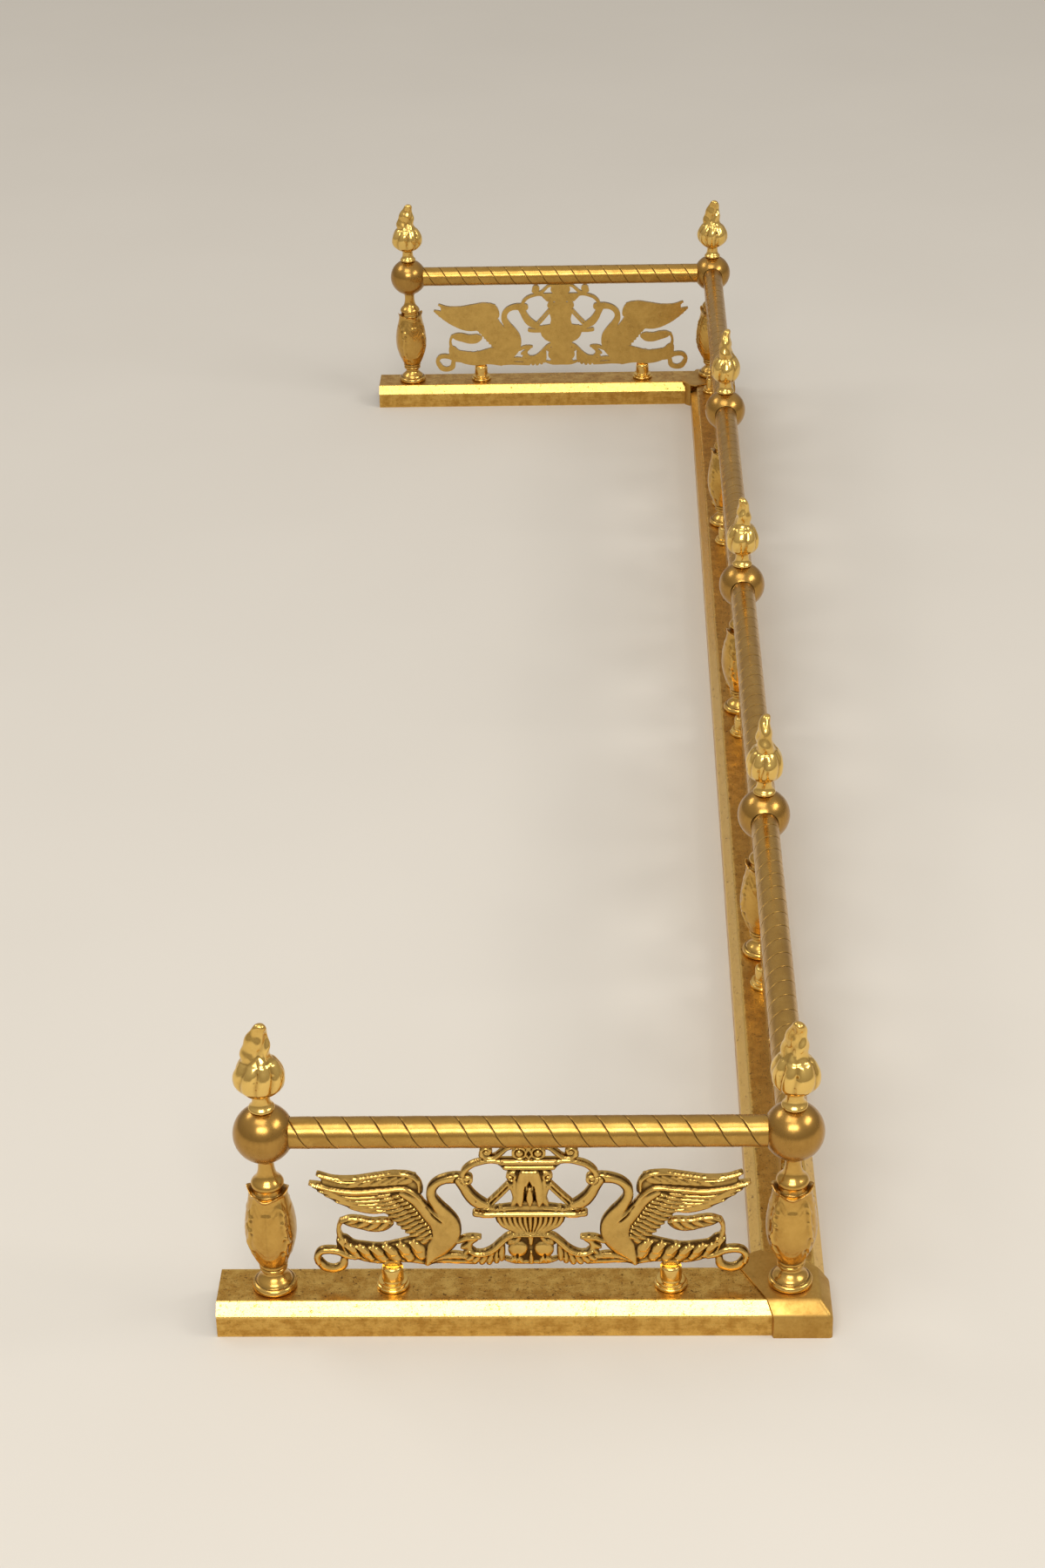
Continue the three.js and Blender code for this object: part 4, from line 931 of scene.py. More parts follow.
class Relief:
    """Heights over a casting's flat back, on a grid over the half of it that is drawn. Places are
    x from the middle of the urn and t up from the ground line, and a mark's third value is its
    half width there."""

    def __init__(self, xs, ts):
        self.xs, self.ts = xs, ts
        self.X, self.T = np.meshgrid(xs, ts)
        self.edge = np.full(self.X.shape, OUTSIDE)
        self.height = np.zeros(self.X.shape)

    def window(self, low, high):
        """The part of the grid between two corners."""
        i0, i1 = np.searchsorted(self.xs, [low[0], high[0]])
        j0, j1 = np.searchsorted(self.ts, [low[1], high[1]])
        return slice(max(j0 - 1, 0), j1 + 1), slice(max(i0 - 1, 0), i1 + 1)

    def closest(self, line, reach):
        """The window round a line, with the distance to it and its half width there."""
        w = self.window(line[:, :2].min(0) - reach, line[:, :2].max(0) + reach)
        X, T = self.X[w], self.T[w]
        a, b = line[:-1], line[1:]
        d = b[:, :2] - a[:, :2]
        squared = np.maximum((d**2).sum(1), 1e-12)
        px, pt = X[..., None] - a[:, 0], T[..., None] - a[:, 1]
        u = np.clip((px * d[:, 0] + pt * d[:, 1]) / squared, 0, 1)
        distance = np.hypot(px - u * d[:, 0], pt - u * d[:, 1])
        half = a[:, 2] + u * (b[:, 2] - a[:, 2])
        best = (distance - half).argmin(-1)[..., None]
        return (w, np.take_along_axis(distance, best, -1)[..., 0],
                np.take_along_axis(half, best, -1)[..., 0])

    def put(self, w, inside, bump, over):
        """A form laid into the relief: kept where higher, or laid over, or blended with it."""
        on = inside > 0
        self.edge[w] = np.maximum(self.edge[w], inside)
        here = self.height[w]
        if over == "blend":
            a, b = here[on], bump[on]
            u = np.clip(0.5 + (b - a) / (2 * BLEND_RISE), 0, 1)
            here[on] = a + (b - a) * u + BLEND_RISE * u * (1 - u)
        elif over:
            here[on] = bump[on]
        else:
            here[on] = np.maximum(here[on], bump[on])
        self.height[w] = here

    def rib(self, points, top, foot=CASTING_EDGE, power=0.5, over=False, step=RIB_STEP):
        """A rounded rib: `top` is the height of its crest and `foot` that of its edges."""
        line = drawn_line(points, step)
        w, distance, half = self.closest(line, line[:, 2].max() + 1)
        bump = foot + (top - foot) * np.clip(1 - (distance / half) ** 2, 0, 1) ** power
        self.put(w, half - distance, bump, over)

    def cut(self, points, depth):
        """A groove with a rounded section."""
        line = drawn_line(points)
        w, distance, half = self.closest(line, line[:, 2].max() + 1)
        self.height[w] -= depth * np.clip(1 - (distance / half) ** 2, 0, 1)

    def field(self, outline, top, foot=CASTING_EDGE, rounding=1.5, smooth=True):
        """A closed area with a flat top and rounded edges."""
        border = np.array(outline, float)
        if smooth:
            first = border[0]
            line = drawn_line(np.vstack([border[-1:], border, border[:2]]), FIELD_STEP)
            start = np.argmin(np.hypot(*(line[:, :2] - first).T))
            after = line[start + 3:]
            end = np.argmin(np.hypot(*(after[:, :2] - first).T)) + start + 3
            border = line[start:end]
        closed = np.vstack([border, border[:1]])
        w, distance, _ = self.closest(np.column_stack([closed, np.zeros(len(closed))]), 1)
        X, T = self.X[w], self.T[w]
        inside = np.zeros(X.shape, bool)
        for (x0, t0), (x1, t1) in zip(closed[:-1], closed[1:]):
            if t0 != t1:
                inside ^= ((T > t0) != (T > t1)) & (X < x0 + (T - t0) * (x1 - x0) / (t1 - t0))
        depth = np.where(inside, distance, -distance)
        u = np.clip(depth / rounding, 0, 1)
        self.put(w, depth, foot + (top - foot) * np.sqrt(1 - (1 - u) ** 2), False)


def far_wing(relief):
    """The wing behind: a band with a bright leading edge and short steps."""
    relief.field([(-126.2, 67), (-117.3, 64.5), (-104.5, 64), (-91.5, 66.1), (-78.7, 67.7),
                  (-68.5, 65.7), (-64.9, 61.4), (-64.2, 52), (-71, 50), (-90, 51), (-108, 53),
                  (-124, 60.5), (-123.8, 63.4)], 2.9, rounding=1.0)
    for i, x in enumerate([-108, -100.6, -94.2, -88.4, -83, -77.6]):
        t = 61.8 + 0.42 * i
        relief.rib(leafy(x + 9, t + 0.6, x - 1.2, t - 4.6, 2.6, 0.1), 3.5, foot=2.6, over=True,
                   power=0.8)
    relief.rib([(-124.5, 64.3, 0.4), (-112, 60.6, 0.6), (-100, 60.8, 0.6), (-88, 63.2, 0.5)], 3.9,
               foot=2.8)
    relief.rib([(-126, 66, 0.7), (-117.3, 63.3, 1.0), (-104.5, 62.7, 1.2), (-91.5, 64.6, 1.35),
                (-78.7, 66.2, 1.5), (-69.8, 64.3, 1.5), (-66.4, 60.8, 1.4), (-65.7, 53.5, 1.0)],
               4.2)


def feather_row(relief, start, end, count, length, aim, width, top):
    """Feathers side by side from start to end, each laid over the one before."""
    for i in range(count):
        u = (i + 0.5) / count
        x = start[0] + (end[0] - start[0]) * u
        t = start[1] + (end[1] - start[1]) * u
        a = np.radians(aim[0] + (aim[1] - aim[0]) * u)
        reach = length[0] + (length[1] - length[0]) * u
        relief.rib(leafy(x, t, x + reach * np.cos(a), t + reach * np.sin(a), width, 0.05), top,
                   foot=2.3, over=True, power=0.5)


def near_wing(relief):
    """The wing in front: its web, quills, coverts, shoulder and leading edge."""
    relief.field([(-131, 60), (-117.6, 56.5), (-104.8, 54.4), (-87.7, 55.6), (-71.6, 55.6),
                  (-60.6, 41.5), (-50.6, 31.8), (-52, 20), (-62, 12), (-66, 15.8), (-71.5, 21),
                  (-78.2, 28.2), (-87, 37.9), (-107, 41.3), (-122, 50.7)], 2.6, rounding=0.9)
    quills = [
        ((-93.5, 52.2), (-112, 52.6), (-130.6, 60)), ((-92.3, 49.6), (-111, 49.6), (-128.9, 57.4)),
        ((-91, 47), (-109, 46.8), (-126, 54.3)), ((-89.7, 44.4), (-106, 44.2), (-122, 51)),
        ((-88.3, 41.9), (-102, 42), (-116, 46.6)), ((-87, 39.4), (-97, 39.4), (-108, 42.1)),
    ]
    for a, b, c in quills:
        relief.rib([(a[0] + 3, a[1], 1.2), (*b, 1.55), (c[0] + 5, c[1] - 1.4, 1.25), (*c, 0.55)],
                   3.9, foot=2.1, power=0.6)
    # secondaries along the lower edge, then two rows of coverts, tips over the row below
    feather_row(relief, (-83.5, 47), (-60, 17.5), 11, (9.5, 7.5), (186, 212), 1.85, 3.7)
    feather_row(relief, (-84.5, 53), (-57.5, 20.5), 13, (8.6, 6.6), (190, 214), 1.6, 4.1)
    feather_row(relief, (-75.5, 53), (-54.8, 26), 11, (7.6, 5.8), (192, 216), 1.45, 4.5)
    # smooth shoulder between the coverts and the leading edge
    relief.rib([(-76, 52.3, 2.2), (-68, 46.5, 3.4), (-61, 37, 4.4), (-55.4, 28.5, 5.0),
                (-54.5, 20, 4.6)], 4.6, foot=2.6, over=True, step=0.3)
    relief.rib([(-130.6, 59.6, 0.8), (-117.6, 55.4, 1.25), (-104.8, 53.3, 1.45), (-87.7, 54.5, 1.6),
                (-72.5, 54.7, 1.7), (-68.4, 51.6, 1.6), (-60.8, 40.2, 1.5), (-54.6, 34.5, 1.3),
                (-51.5, 31.4, 0.9)], 4.9, foot=2.2)


def tail(relief):
    """The tail: a rolled leaf of overlapping lobes over a thin keel, and a curled leaf above."""
    relief.rib([(-63.5, 0.6, 1.2), (-75.6, 2.7, 1.6), (-89.5, 1.7, 1.7), (-100.8, 3.7, 1.7),
                (-109.3, 7.8, 1.7), (-116.4, 11.2, 1.5)], 3.2)
    relief.field([(-61, 17), (-70, 19.3), (-80.3, 16.9), (-89.1, 14.7), (-100.3, 15.6),
                  (-106.3, 16.8), (-111.4, 21), (-115.6, 21), (-116.6, 13.5), (-109.3, 6.6),
                  (-100.8, 3.2), (-89.5, 1.2), (-75.6, 2), (-62, 2)], 3.0, rounding=1.5)
    lobes = [(-111, 9.4, -114.8, 19.4, 2.9), (-104.4, 6.4, -111.6, 15.6, 3.5),
             (-97, 4.8, -104.2, 14, 3.9), (-89.4, 3.8, -96.2, 13.2, 4.1),
             (-81.6, 3.8, -88, 13.8, 4.2), (-73.8, 4.4, -79.6, 15.4, 4.3),
             (-66.6, 6, -71.6, 17, 4.3)]
    for x0, t0, x1, t1, w in lobes:
        relief.rib([(x0 + 0.6, t0, w * 0.75), ((x0 + x1) / 2 + 1.4, (t0 + t1) / 2 - 0.8, w * 1.1),
                    (x1 + 1, t1 - 1, w * 0.6)], 4.3, foot=2.3, over=True, power=0.6)
        for lean, far in ((3.4, 0.9), (1.2, 1.06), (-1.2, 0.96)):
            relief.rib([(x0 * 0.6 + x1 * 0.4 + lean * 0.5 + 0.8, t0 * 0.6 + t1 * 0.4, 1.1),
                        (x1 + lean, t0 + (t1 - t0) * far, 0.75)], 4.7, foot=3.3, power=0.6)
    # stalk up to the curled leaf, and the leaf with its rolled upper rim
    relief.rib([(-112.5, 17, 2.2), (-114.9, 22.5, 1.5), (-114.9, 28, 1.25), (-113.2, 32, 1.4)], 3.9)
    relief.field([(-114, 32.2), (-109.1, 34.9), (-102.2, 34.5), (-95.4, 33), (-85, 33),
                  (-81.8, 30.5), (-86.5, 25), (-93.9, 23.8), (-102.5, 25.9), (-111.6, 29.6)], 3.0,
                 rounding=1.3)
    for x0, t0, x1, t1, w in [(-84.5, 31.6, -91, 25.2, 2.3), (-89.5, 31.8, -97.5, 25.6, 2.5),
                              (-95.5, 32, -104, 27.6, 2.4), (-102.5, 33, -110, 30.2, 2)]:
        relief.rib(leafy(x0, t0, x1, t1, w), 3.9, foot=2.2, over=True)
    relief.rib([(-113.6, 31.8, 1), (-108.8, 33.7, 1.3), (-102.2, 33.4, 1.4), (-95.4, 31.9, 1.3),
                (-86, 32, 1.2), (-82.6, 30.6, 0.7)], 4.7)


def tail_loop(relief):
    """The loop at the end of the tail."""
    relief.rib([(-112.6, 4.4, 2.2), (-113.9, -1.4, 2.6), (-119, -3.9, 2.5), (-125, -2.4, 2.7),
                (-128, 2, 2.3)], 3.5)
    relief.rib([(-128.4, 1.2, 1.9), (-129, 5.6, 2), (-126.4, 9.4, 2.2), (-121.6, 10.3, 2.3),
                (-116.4, 9.4, 2.3), (-111, 6.6, 2.2), (-106, 5.2, 1.6)], 4.5)


def neck_and_head(relief):
    """Neck and breast in one sweep, then the bowed head."""
    relief.rib([(-39.5, 62.9, 3.5), (-44.5, 63.2, 3.3), (-49.4, 62.6, 2.85), (-54.4, 60.3, 2.75),
                (-57.9, 56, 2.85), (-58.5, 50.2, 3.1), (-55.4, 43.6, 3.7), (-51, 36.4, 5.0),
                (-48.6, 29.4, 6.6), (-50.2, 21.5, 8.2), (-54.6, 13.6, 7.2), (-59.4, 6.2, 4.2),
                (-62.6, 0.6, 1.4)], 5.0, foot=2.2, over="blend", power=0.42, step=0.3)
    relief.cut([(-62.2, 43, 0.5), (-58, 36.6, 0.8), (-53.4, 31.6, 0.5)], 1.2)
    relief.rib([(-41.5, 61.8, 3.2), (-38.9, 57, 3.3), (-35.9, 51.2, 3.7), (-32, 46.4, 4.0),
                (-27.8, 43.6, 3.5), (-24.8, 42.2, 2.3), (-22.6, 41.2, 1.1)], 4.9, foot=2.2,
               over=True, power=0.42)
    relief.cut([(-30.6, 41.4, 0.3), (-27.6, 42.2, 0.5), (-22.8, 41.4, 0.4)], 0.9)
    relief.cut(bead(-32.2, 47.4, 0.75), 0.7)
    # crest of the head's upper edge
    relief.rib([(-37.2, 56.2, 0.5), (-33.6, 51.2, 0.8), (-29.4, 47.2, 0.8), (-25, 44.6, 0.5)], 5.0,
               foot=4.2)


def ground(relief):
    """The ground line with a pointed leaf, and the acanthus curl beside the breast."""
    relief.rib([(-64, 1.2, 1.6), (-52, 1.9, 1.7), (-44, 1.4, 1.6), (-34, 1.2, 1.8)], 3.0)
    relief.rib([(-60, 2, 0.6), (-53, 5.2, 1.6), (-46.4, 6.2, 2.1), (-40, 5.4, 1.7),
                (-35.5, 4.4, 1.5)], 4.3, foot=2.4, over=True)
    relief.cut([(-57, 3.8, 0.3), (-48, 6.3, 0.5), (-40, 5.6, 0.3)], 0.5)
    # acanthus curl beside the breast
    relief.rib([(-43.6, 16.4, 1.2), (-39.6, 18.6, 1.8), (-34.6, 19.3, 1.9), (-30.6, 19.6, 1.1)],
               4.3, foot=2.2)
    relief.rib([(-33.2, 18.4, 1.6), (-36.4, 15.4, 1.7), (-37, 11.6, 1.9), (-34.4, 8, 2.1)], 4.0,
               foot=2.2)
    for x0, t0, x1, t1 in [(-36.4, 15.6, -42.0, 11.8), (-36.6, 11.6, -40.6, 7.4)]:
        relief.rib(leafy(x0, t0, x1, t1, 2.0, 0.1), 3.6, foot=2.1)


def urn_foot(relief):
    """The foot of the urn: scroll, fan and fruit."""
    for x0, t0, x1, t1 in [(-33.6, 8, -37.6, 2.6), (-31.4, 7.2, -33.6, 1), (-27.6, 7.4, -29.4, 0.3),
                           (-24, 8.4, -25, 0.2), (-20.8, 10.6, -20.6, 1.2),
                           (-18.6, 12.8, -17.4, 3)]:
        relief.rib([(x0 + 1.6, t0, 1.5), ((x0 + x1) / 2 + 0.2, (t0 + t1) / 2 - 0.4, 2.3),
                    (x1 - 0.4, t1 + 0.6, 1.7)], 3.9, foot=2.3, over=True, power=0.7)
    for i in range(4):
        relief.rib(bead(-1.5 - 2.9 * i, 22.9 - 0.25 * i, 1.7), 4.6, foot=2.4)
    relief.rib([(0, 21.4, 1.3), (-6, 21.6, 1.5), (-12.6, 20.6, 1.9), (-17.4, 16.2, 2.1),
                (-22, 11.2, 2.2), (-28, 7.6, 2.2), (-33.6, 7.6, 1.9), (-37, 9.6, 1.5)], 4.9)
    relief.cut([(-8, 22.4, 0.3), (-13, 20.2, 0.5), (-18, 15.6, 0.6), (-24, 9.6, 0.6),
                (-31, 7.4, 0.3)], 0.7)
    relief.field([(1, 21), (-9, 20.5), (-10, 15), (-9, 6), (-9, 0.2), (1, -0.4)], 2.4, rounding=1,
                 smooth=False)
    relief.rib(leafy(-6, 20.6, -14.4, 15, 2.0, 0.12), 3.8, foot=2.2)
    relief.rib([(-15, 3, 1.3), (-10, 1.4, 1.4), (-5, 1, 1.4), (0, 1.4, 1.5)], 3.2)
    relief.rib(bead(-7.9, 11, 5.9), 4.8, foot=2.4, power=0.45)
    relief.rib([(0, 21, 2.2), (0, 15, 1.3)], 4.0, foot=2.4)
    relief.rib([(0, 8.6, 0.7), (0, 4.4, 1.7), (0, 1.2, 1.5)], 4.4, foot=2.4)
    for x1, t1 in [(-12.6, 1.6), (-9.2, 0.7), (-5.2, 0.7)]:
        relief.rib(leafy(-8, 5.6, x1, t1, 1.5), 3.9, foot=2.3)
    relief.cut([(-8.2, 8, 0.5), (-8.4, 5.6, 0.9), (-8.4, 4.2, 0.6)], 1.3)
    relief.rib(curl(-11, 16.6, 200, -0.8, 1.9, 0.5, 0.8, 0.5), 4.4, foot=2.6)


def bowl(relief):
    """The bowl with its flutes, the bar of the dish, and the leafy mound on it."""
    relief.field([(1, 35.4), (-21.4, 35.4), (-20, 31), (-16, 27), (-10, 23.6), (1, 22.6)], 3.0,
                 rounding=1, smooth=False)
    for i in range(7):
        a = 3.15 * i
        b = 1.35 * i
        relief.rib([(-a, 34.6, 1.35), (-(a * 0.88 + b * 0.12), 30.5, 1.35), (-b, 23.6, 0.6)],
                   4.4 - 0.05 * i, foot=2.5, power=0.5)
    relief.rib([(0, 36.9, 1.9), (-20, 36.9, 1.8), (-29, 37, 1.8), (-32.6, 37.6, 1.9)], 5.0,
               foot=2.2, power=0.35)
    # leafy mound on the dish
    relief.field([(1, 43.8), (-12, 43.6), (-21, 42), (-27, 39.6), (-25, 37.4), (1, 37.4)], 3.3,
                 rounding=1.8, smooth=False)
    relief.rib([(-9, 41, 1.6), (-17, 40.4, 1.5), (-25, 39.3, 1)], 3.9, foot=2.8, power=0.8)
    for i in range(3):
        relief.rib(leafy(-14.5 - 3.6 * i, 38.4, -18.5 - 3.8 * i, 42.6 - 0.8 * i, 1.4), 3.8,
                   foot=2.3)


def vase(relief):
    """The vase, its struts and its shoulder volutes."""
    relief.rib([(-10.2, 58.6, 1.0), (-16, 51.6, 0.9), (-22.6, 44.2, 1.0)], 3.9, foot=2)
    relief.rib([(-12.6, 59.4, 0.9), (-18.6, 52.4, 0.9), (-25.2, 45.2, 0.9)], 4.3, foot=2)
    relief.field([(1, 67.4), (-8.8, 67.4), (-11.6, 62), (-11.8, 58), (-9, 53), (-8.4, 47),
                  (-9.6, 42.4), (1, 42)], 3.3, rounding=3, smooth=False)
    relief.rib(bead(-10.7, 63.6, 2.9), 2.7, foot=2.2)
    relief.rib(curl(-10.7, 63.6, 80, -1.1, 2.7, 0.5, 1.1, 0.7), 4.5, foot=2.4)
    relief.rib([(-8.6, 67.8, 1.1), (-11.6, 67, 1.1), (-13, 64, 0.9)], 4.2, foot=2.2)
    relief.rib([(-3.6, 66.4, 2.6), (-4.6, 60, 3.4), (-5.4, 52, 3.4), (-6, 46.6, 2.3),
                (-5.6, 43.6, 1.2)], 4.7, foot=2.7, over=True)
    relief.rib([(-1.2, 66.6, 2.2), (-1.4, 61.6, 1.7), (-2.6, 57.4, 0.9)], 4.6, foot=3)
    relief.rib([(0, 55.6, 0.6), (-0.2, 51.6, 1.8), (-0.4, 47.4, 2.0), (0, 43.6, 1.1)], 4.4,
               foot=2.3, over=True)
    relief.cut([(-2.4, 57.6, 0.4), (-2.9, 52, 0.7), (-3, 46.4, 0.7)], 1.6)
    relief.cut([(0, 59.4, 0.4), (0, 56.4, 1.0)], 1.2)
    relief.rib(leafy(-8.4, 52, -8.9, 43.6, 1.5), 4.0, foot=2.3)
    relief.rib([(-8.7, 61.2, 1.2), (-8.9, 56, 1.4), (-8.6, 51, 1.0)], 4.2, foot=2.5)
    relief.rib([(-11.5, 57.8, 1.3), (-9.8, 53.4, 1.2), (-9.2, 48, 1.1), (-10.4, 43.6, 0.9)], 4.0,
               foot=2.2)


def rim_and_scrolls(relief):
    """The rim, the lip and the top scrolls."""
    relief.rib([(0, 70.7, 1.5), (-14.2, 70.7, 1.5)], 4.2, foot=2.3, power=0.4)
    relief.field([(1, 77.2), (-18.5, 77.2), (-18.5, 73), (-14, 68.6), (1, 68.6)], 2.9, rounding=0.8,
                 smooth=False)
    relief.rib([(0, 75, 1.9), (-17.6, 75, 1.8)], 5.0, foot=2.4, power=0.35)
    relief.rib(bead(-5.4, 81.4, 3.9), 2.6, foot=2.0)
    relief.rib(bead(-5.5, 81.3, 2.6), 4.8, foot=2.6, power=0.45)
    relief.rib(curl(-5.4, 81.4, 120, 1.0, 3.7, 3.6, 1.0, 0.8, 22), 4.5, foot=2.4)
    relief.rib([(0, 85.6, 1), (-3.4, 85.4, 1.1), (-5.6, 85.2, 1.1)], 4.2)
    relief.rib([(-9.6, 85.6, 1.1), (-12.6, 84.8, 1.3), (-16, 81.8, 1.5), (-19.6, 78.6, 1.6),
                (-24, 77.8, 1.6), (-28.2, 79.8, 1.4)], 4.7)
    relief.rib(bead(-24.8, 82.4, 3.4), 2.6, foot=2.0)
    relief.rib(curl(-24.8, 82.4, -125, -1.35, 3.4, 0.7, 1.3, 0.8, 22), 4.6)
    relief.rib(bead(-24.6, 82.4, 1.3), 4.7)
    relief.rib([(-1, 86, 0.7), (-10, 86, 0.8)], 3.2)
    relief.field([(1, 86.5), (-3.2, 86.5), (-3.2, 76), (1, 76)], 2.7, rounding=0.6, smooth=False)
    relief.rib([(0, 84.4, 0.8), (-1.7, 80.4, 1.1), (0, 77.4, 1)], 3.9, foot=2.4)


def handle(relief):
    """The handle, from the rim over to the volute that crosses the swan's neck."""
    relief.rib([(-17.2, 75.4, 1.7), (-22, 76.2, 1.5), (-28.6, 75, 1.5), (-34.8, 72.3, 1.6),
                (-38.6, 68, 1.7), (-39.8, 63, 1.5)], 4.9, foot=2.4, over=True, power=0.4)
    relief.rib(bead(-36.8, 63, 3.2), 2.8, foot=2.2)
    relief.rib(curl(-36.8, 63, 178, 1.3, 3.3, 0.5, 1.35, 0.8, 22), 5.0, foot=2.8, over=True,
               power=0.4)
    relief.rib(bead(-36.6, 63, 1.1), 5.0, foot=3)


def end_scroll(relief):
    """The longer casting's end: the ground runs on to a scroll, with a leaf over the stud."""
    relief.rib([(-123, -2.6, 1.6), (-129, 0.6, 2.2), (-136, 1.9, 2.1), (-145, 1.9, 2.1),
                (-154, 2.0, 2.0)], 3.3)
    relief.field([(-129.4, 2), (-130, 9), (-132.5, 12.4), (-140, 14.6), (-148, 10), (-147, 1),
                  (-134, 0.4)], 2.8, rounding=1.4)
    relief.rib(bead(-155, 8.6, 6.4), 2.4, foot=2.0)
    relief.rib(curl(-154.6, 8.8, -112, -1.5, 6.6, 1.2, 1.9, 1.1, 30), 4.6)
    relief.rib(bead(-154, 8.6, 1.7), 4.8)
    for x0, t0, x1, t1, w in [(-128.6, 8, -143, 14, 3.2), (-127, 9.6, -140, 19, 3.2),
                              (-126.4, 11, -141, 24.6, 3)]:
        relief.rib([(x0, t0, w * 0.5), ((x0 + x1) / 2, (t0 + t1) / 2 - 0.6, w), (x1, t1, w * 0.5)],
                   4.2, foot=2.2, over=True)
    relief.rib([(-127, 10.4, 1.4), (-134, 15.4, 2.6), (-140.4, 22.4, 2.6), (-147, 25.4, 1.8),
                (-153, 25.3, 0.8)], 4.7, foot=2.2, over=True)
    relief.rib([(-138, 16.4, 1.6), (-145, 20.6, 1.7), (-148.6, 23.4, 1)], 3.6, foot=2.1)
    relief.rib([(-140, 12.6, 2.2), (-146.4, 15.4, 2), (-152, 16.8, 1.5)], 4.1)
    for i in range(5):
        relief.rib(leafy(-136 - 2.9 * i, 8.8 - 0.5 * i, -133.5 - 3.6 * i, 1.2, 1.8), 3.9, foot=2.3,
                   over=True)


ORNAMENT = [far_wing, near_wing, tail, tail_loop, neck_and_head, ground, urn_foot, bowl, vase,
            rim_and_scrolls, handle]


def modelled(kind):
    """The relief of one kind of casting, from its far end to the middle of the urn."""
    count = int(np.ceil(CASTING_HALF[kind] / CASTING_PITCH))
    # the last column lies one step past the urn's middle line, where the mirror stands
    xs = -np.arange(count + 2)[::-1] * CASTING_PITCH + CASTING_PITCH
    relief = Relief(xs, np.arange(*CASTING_HEIGHTS, CASTING_PITCH))
    for part in ORNAMENT:
        part(relief)
    if kind == "front":
        end_scroll(relief)
    return relief


def spread_out(values, weight, times):
    """Values blurred over the metal only."""
    kernel = np.array([1, 4, 6, 4, 1]) / 16 if times > 1 else np.array([0, 1, 6, 1, 0]) / 8
    total, share = values * weight, weight.astype(float)
    for _ in range(times):
        for axis in (0, 1):
            total = sum(k * np.roll(total, i - 2, axis) for i, k in enumerate(kernel))
            share = sum(k * np.roll(share, i - 2, axis) for i, k in enumerate(kernel))
    return np.where(share > 1e-6, total / np.maximum(share, 1e-6), values)


def with_mirror(half):
    """A grid of the drawn half with its mirror beyond the urn's middle line."""
    return np.hstack([half[:, :-1], half[:, :-2][:, ::-1]])


def finished_height(edge, height, metal):
    """The relief as filed and rubbed: its height, its hollows and its bright high points."""
    # the grid's own steps are filed off, the rim is rounded over and the margin kept even
    height = spread_out(height, metal, 1)
    broad = spread_out(height, metal, 18)
    rim = np.clip(edge / 1.1, 0, 1)
    height = height - 0.35 * (1 - rim) ** 2
    margin = np.clip((1.0 - edge) / 0.6, 0, 1)
    height = height + margin * (spread_out(height, metal, 3) - height)
    height = np.minimum(height, CASTING_THICKEST)
    # what lies lower than its surroundings is hollow, and what stands over them is rubbed
    hollow = np.clip((broad - height - 0.02) / 0.5, 0, 1)
    worn = np.clip((height - broad - 0.1) / 0.6, 0, 1) * np.clip((height - 3.2) / 1.2, 0, 1)
    return height, hollow, worn


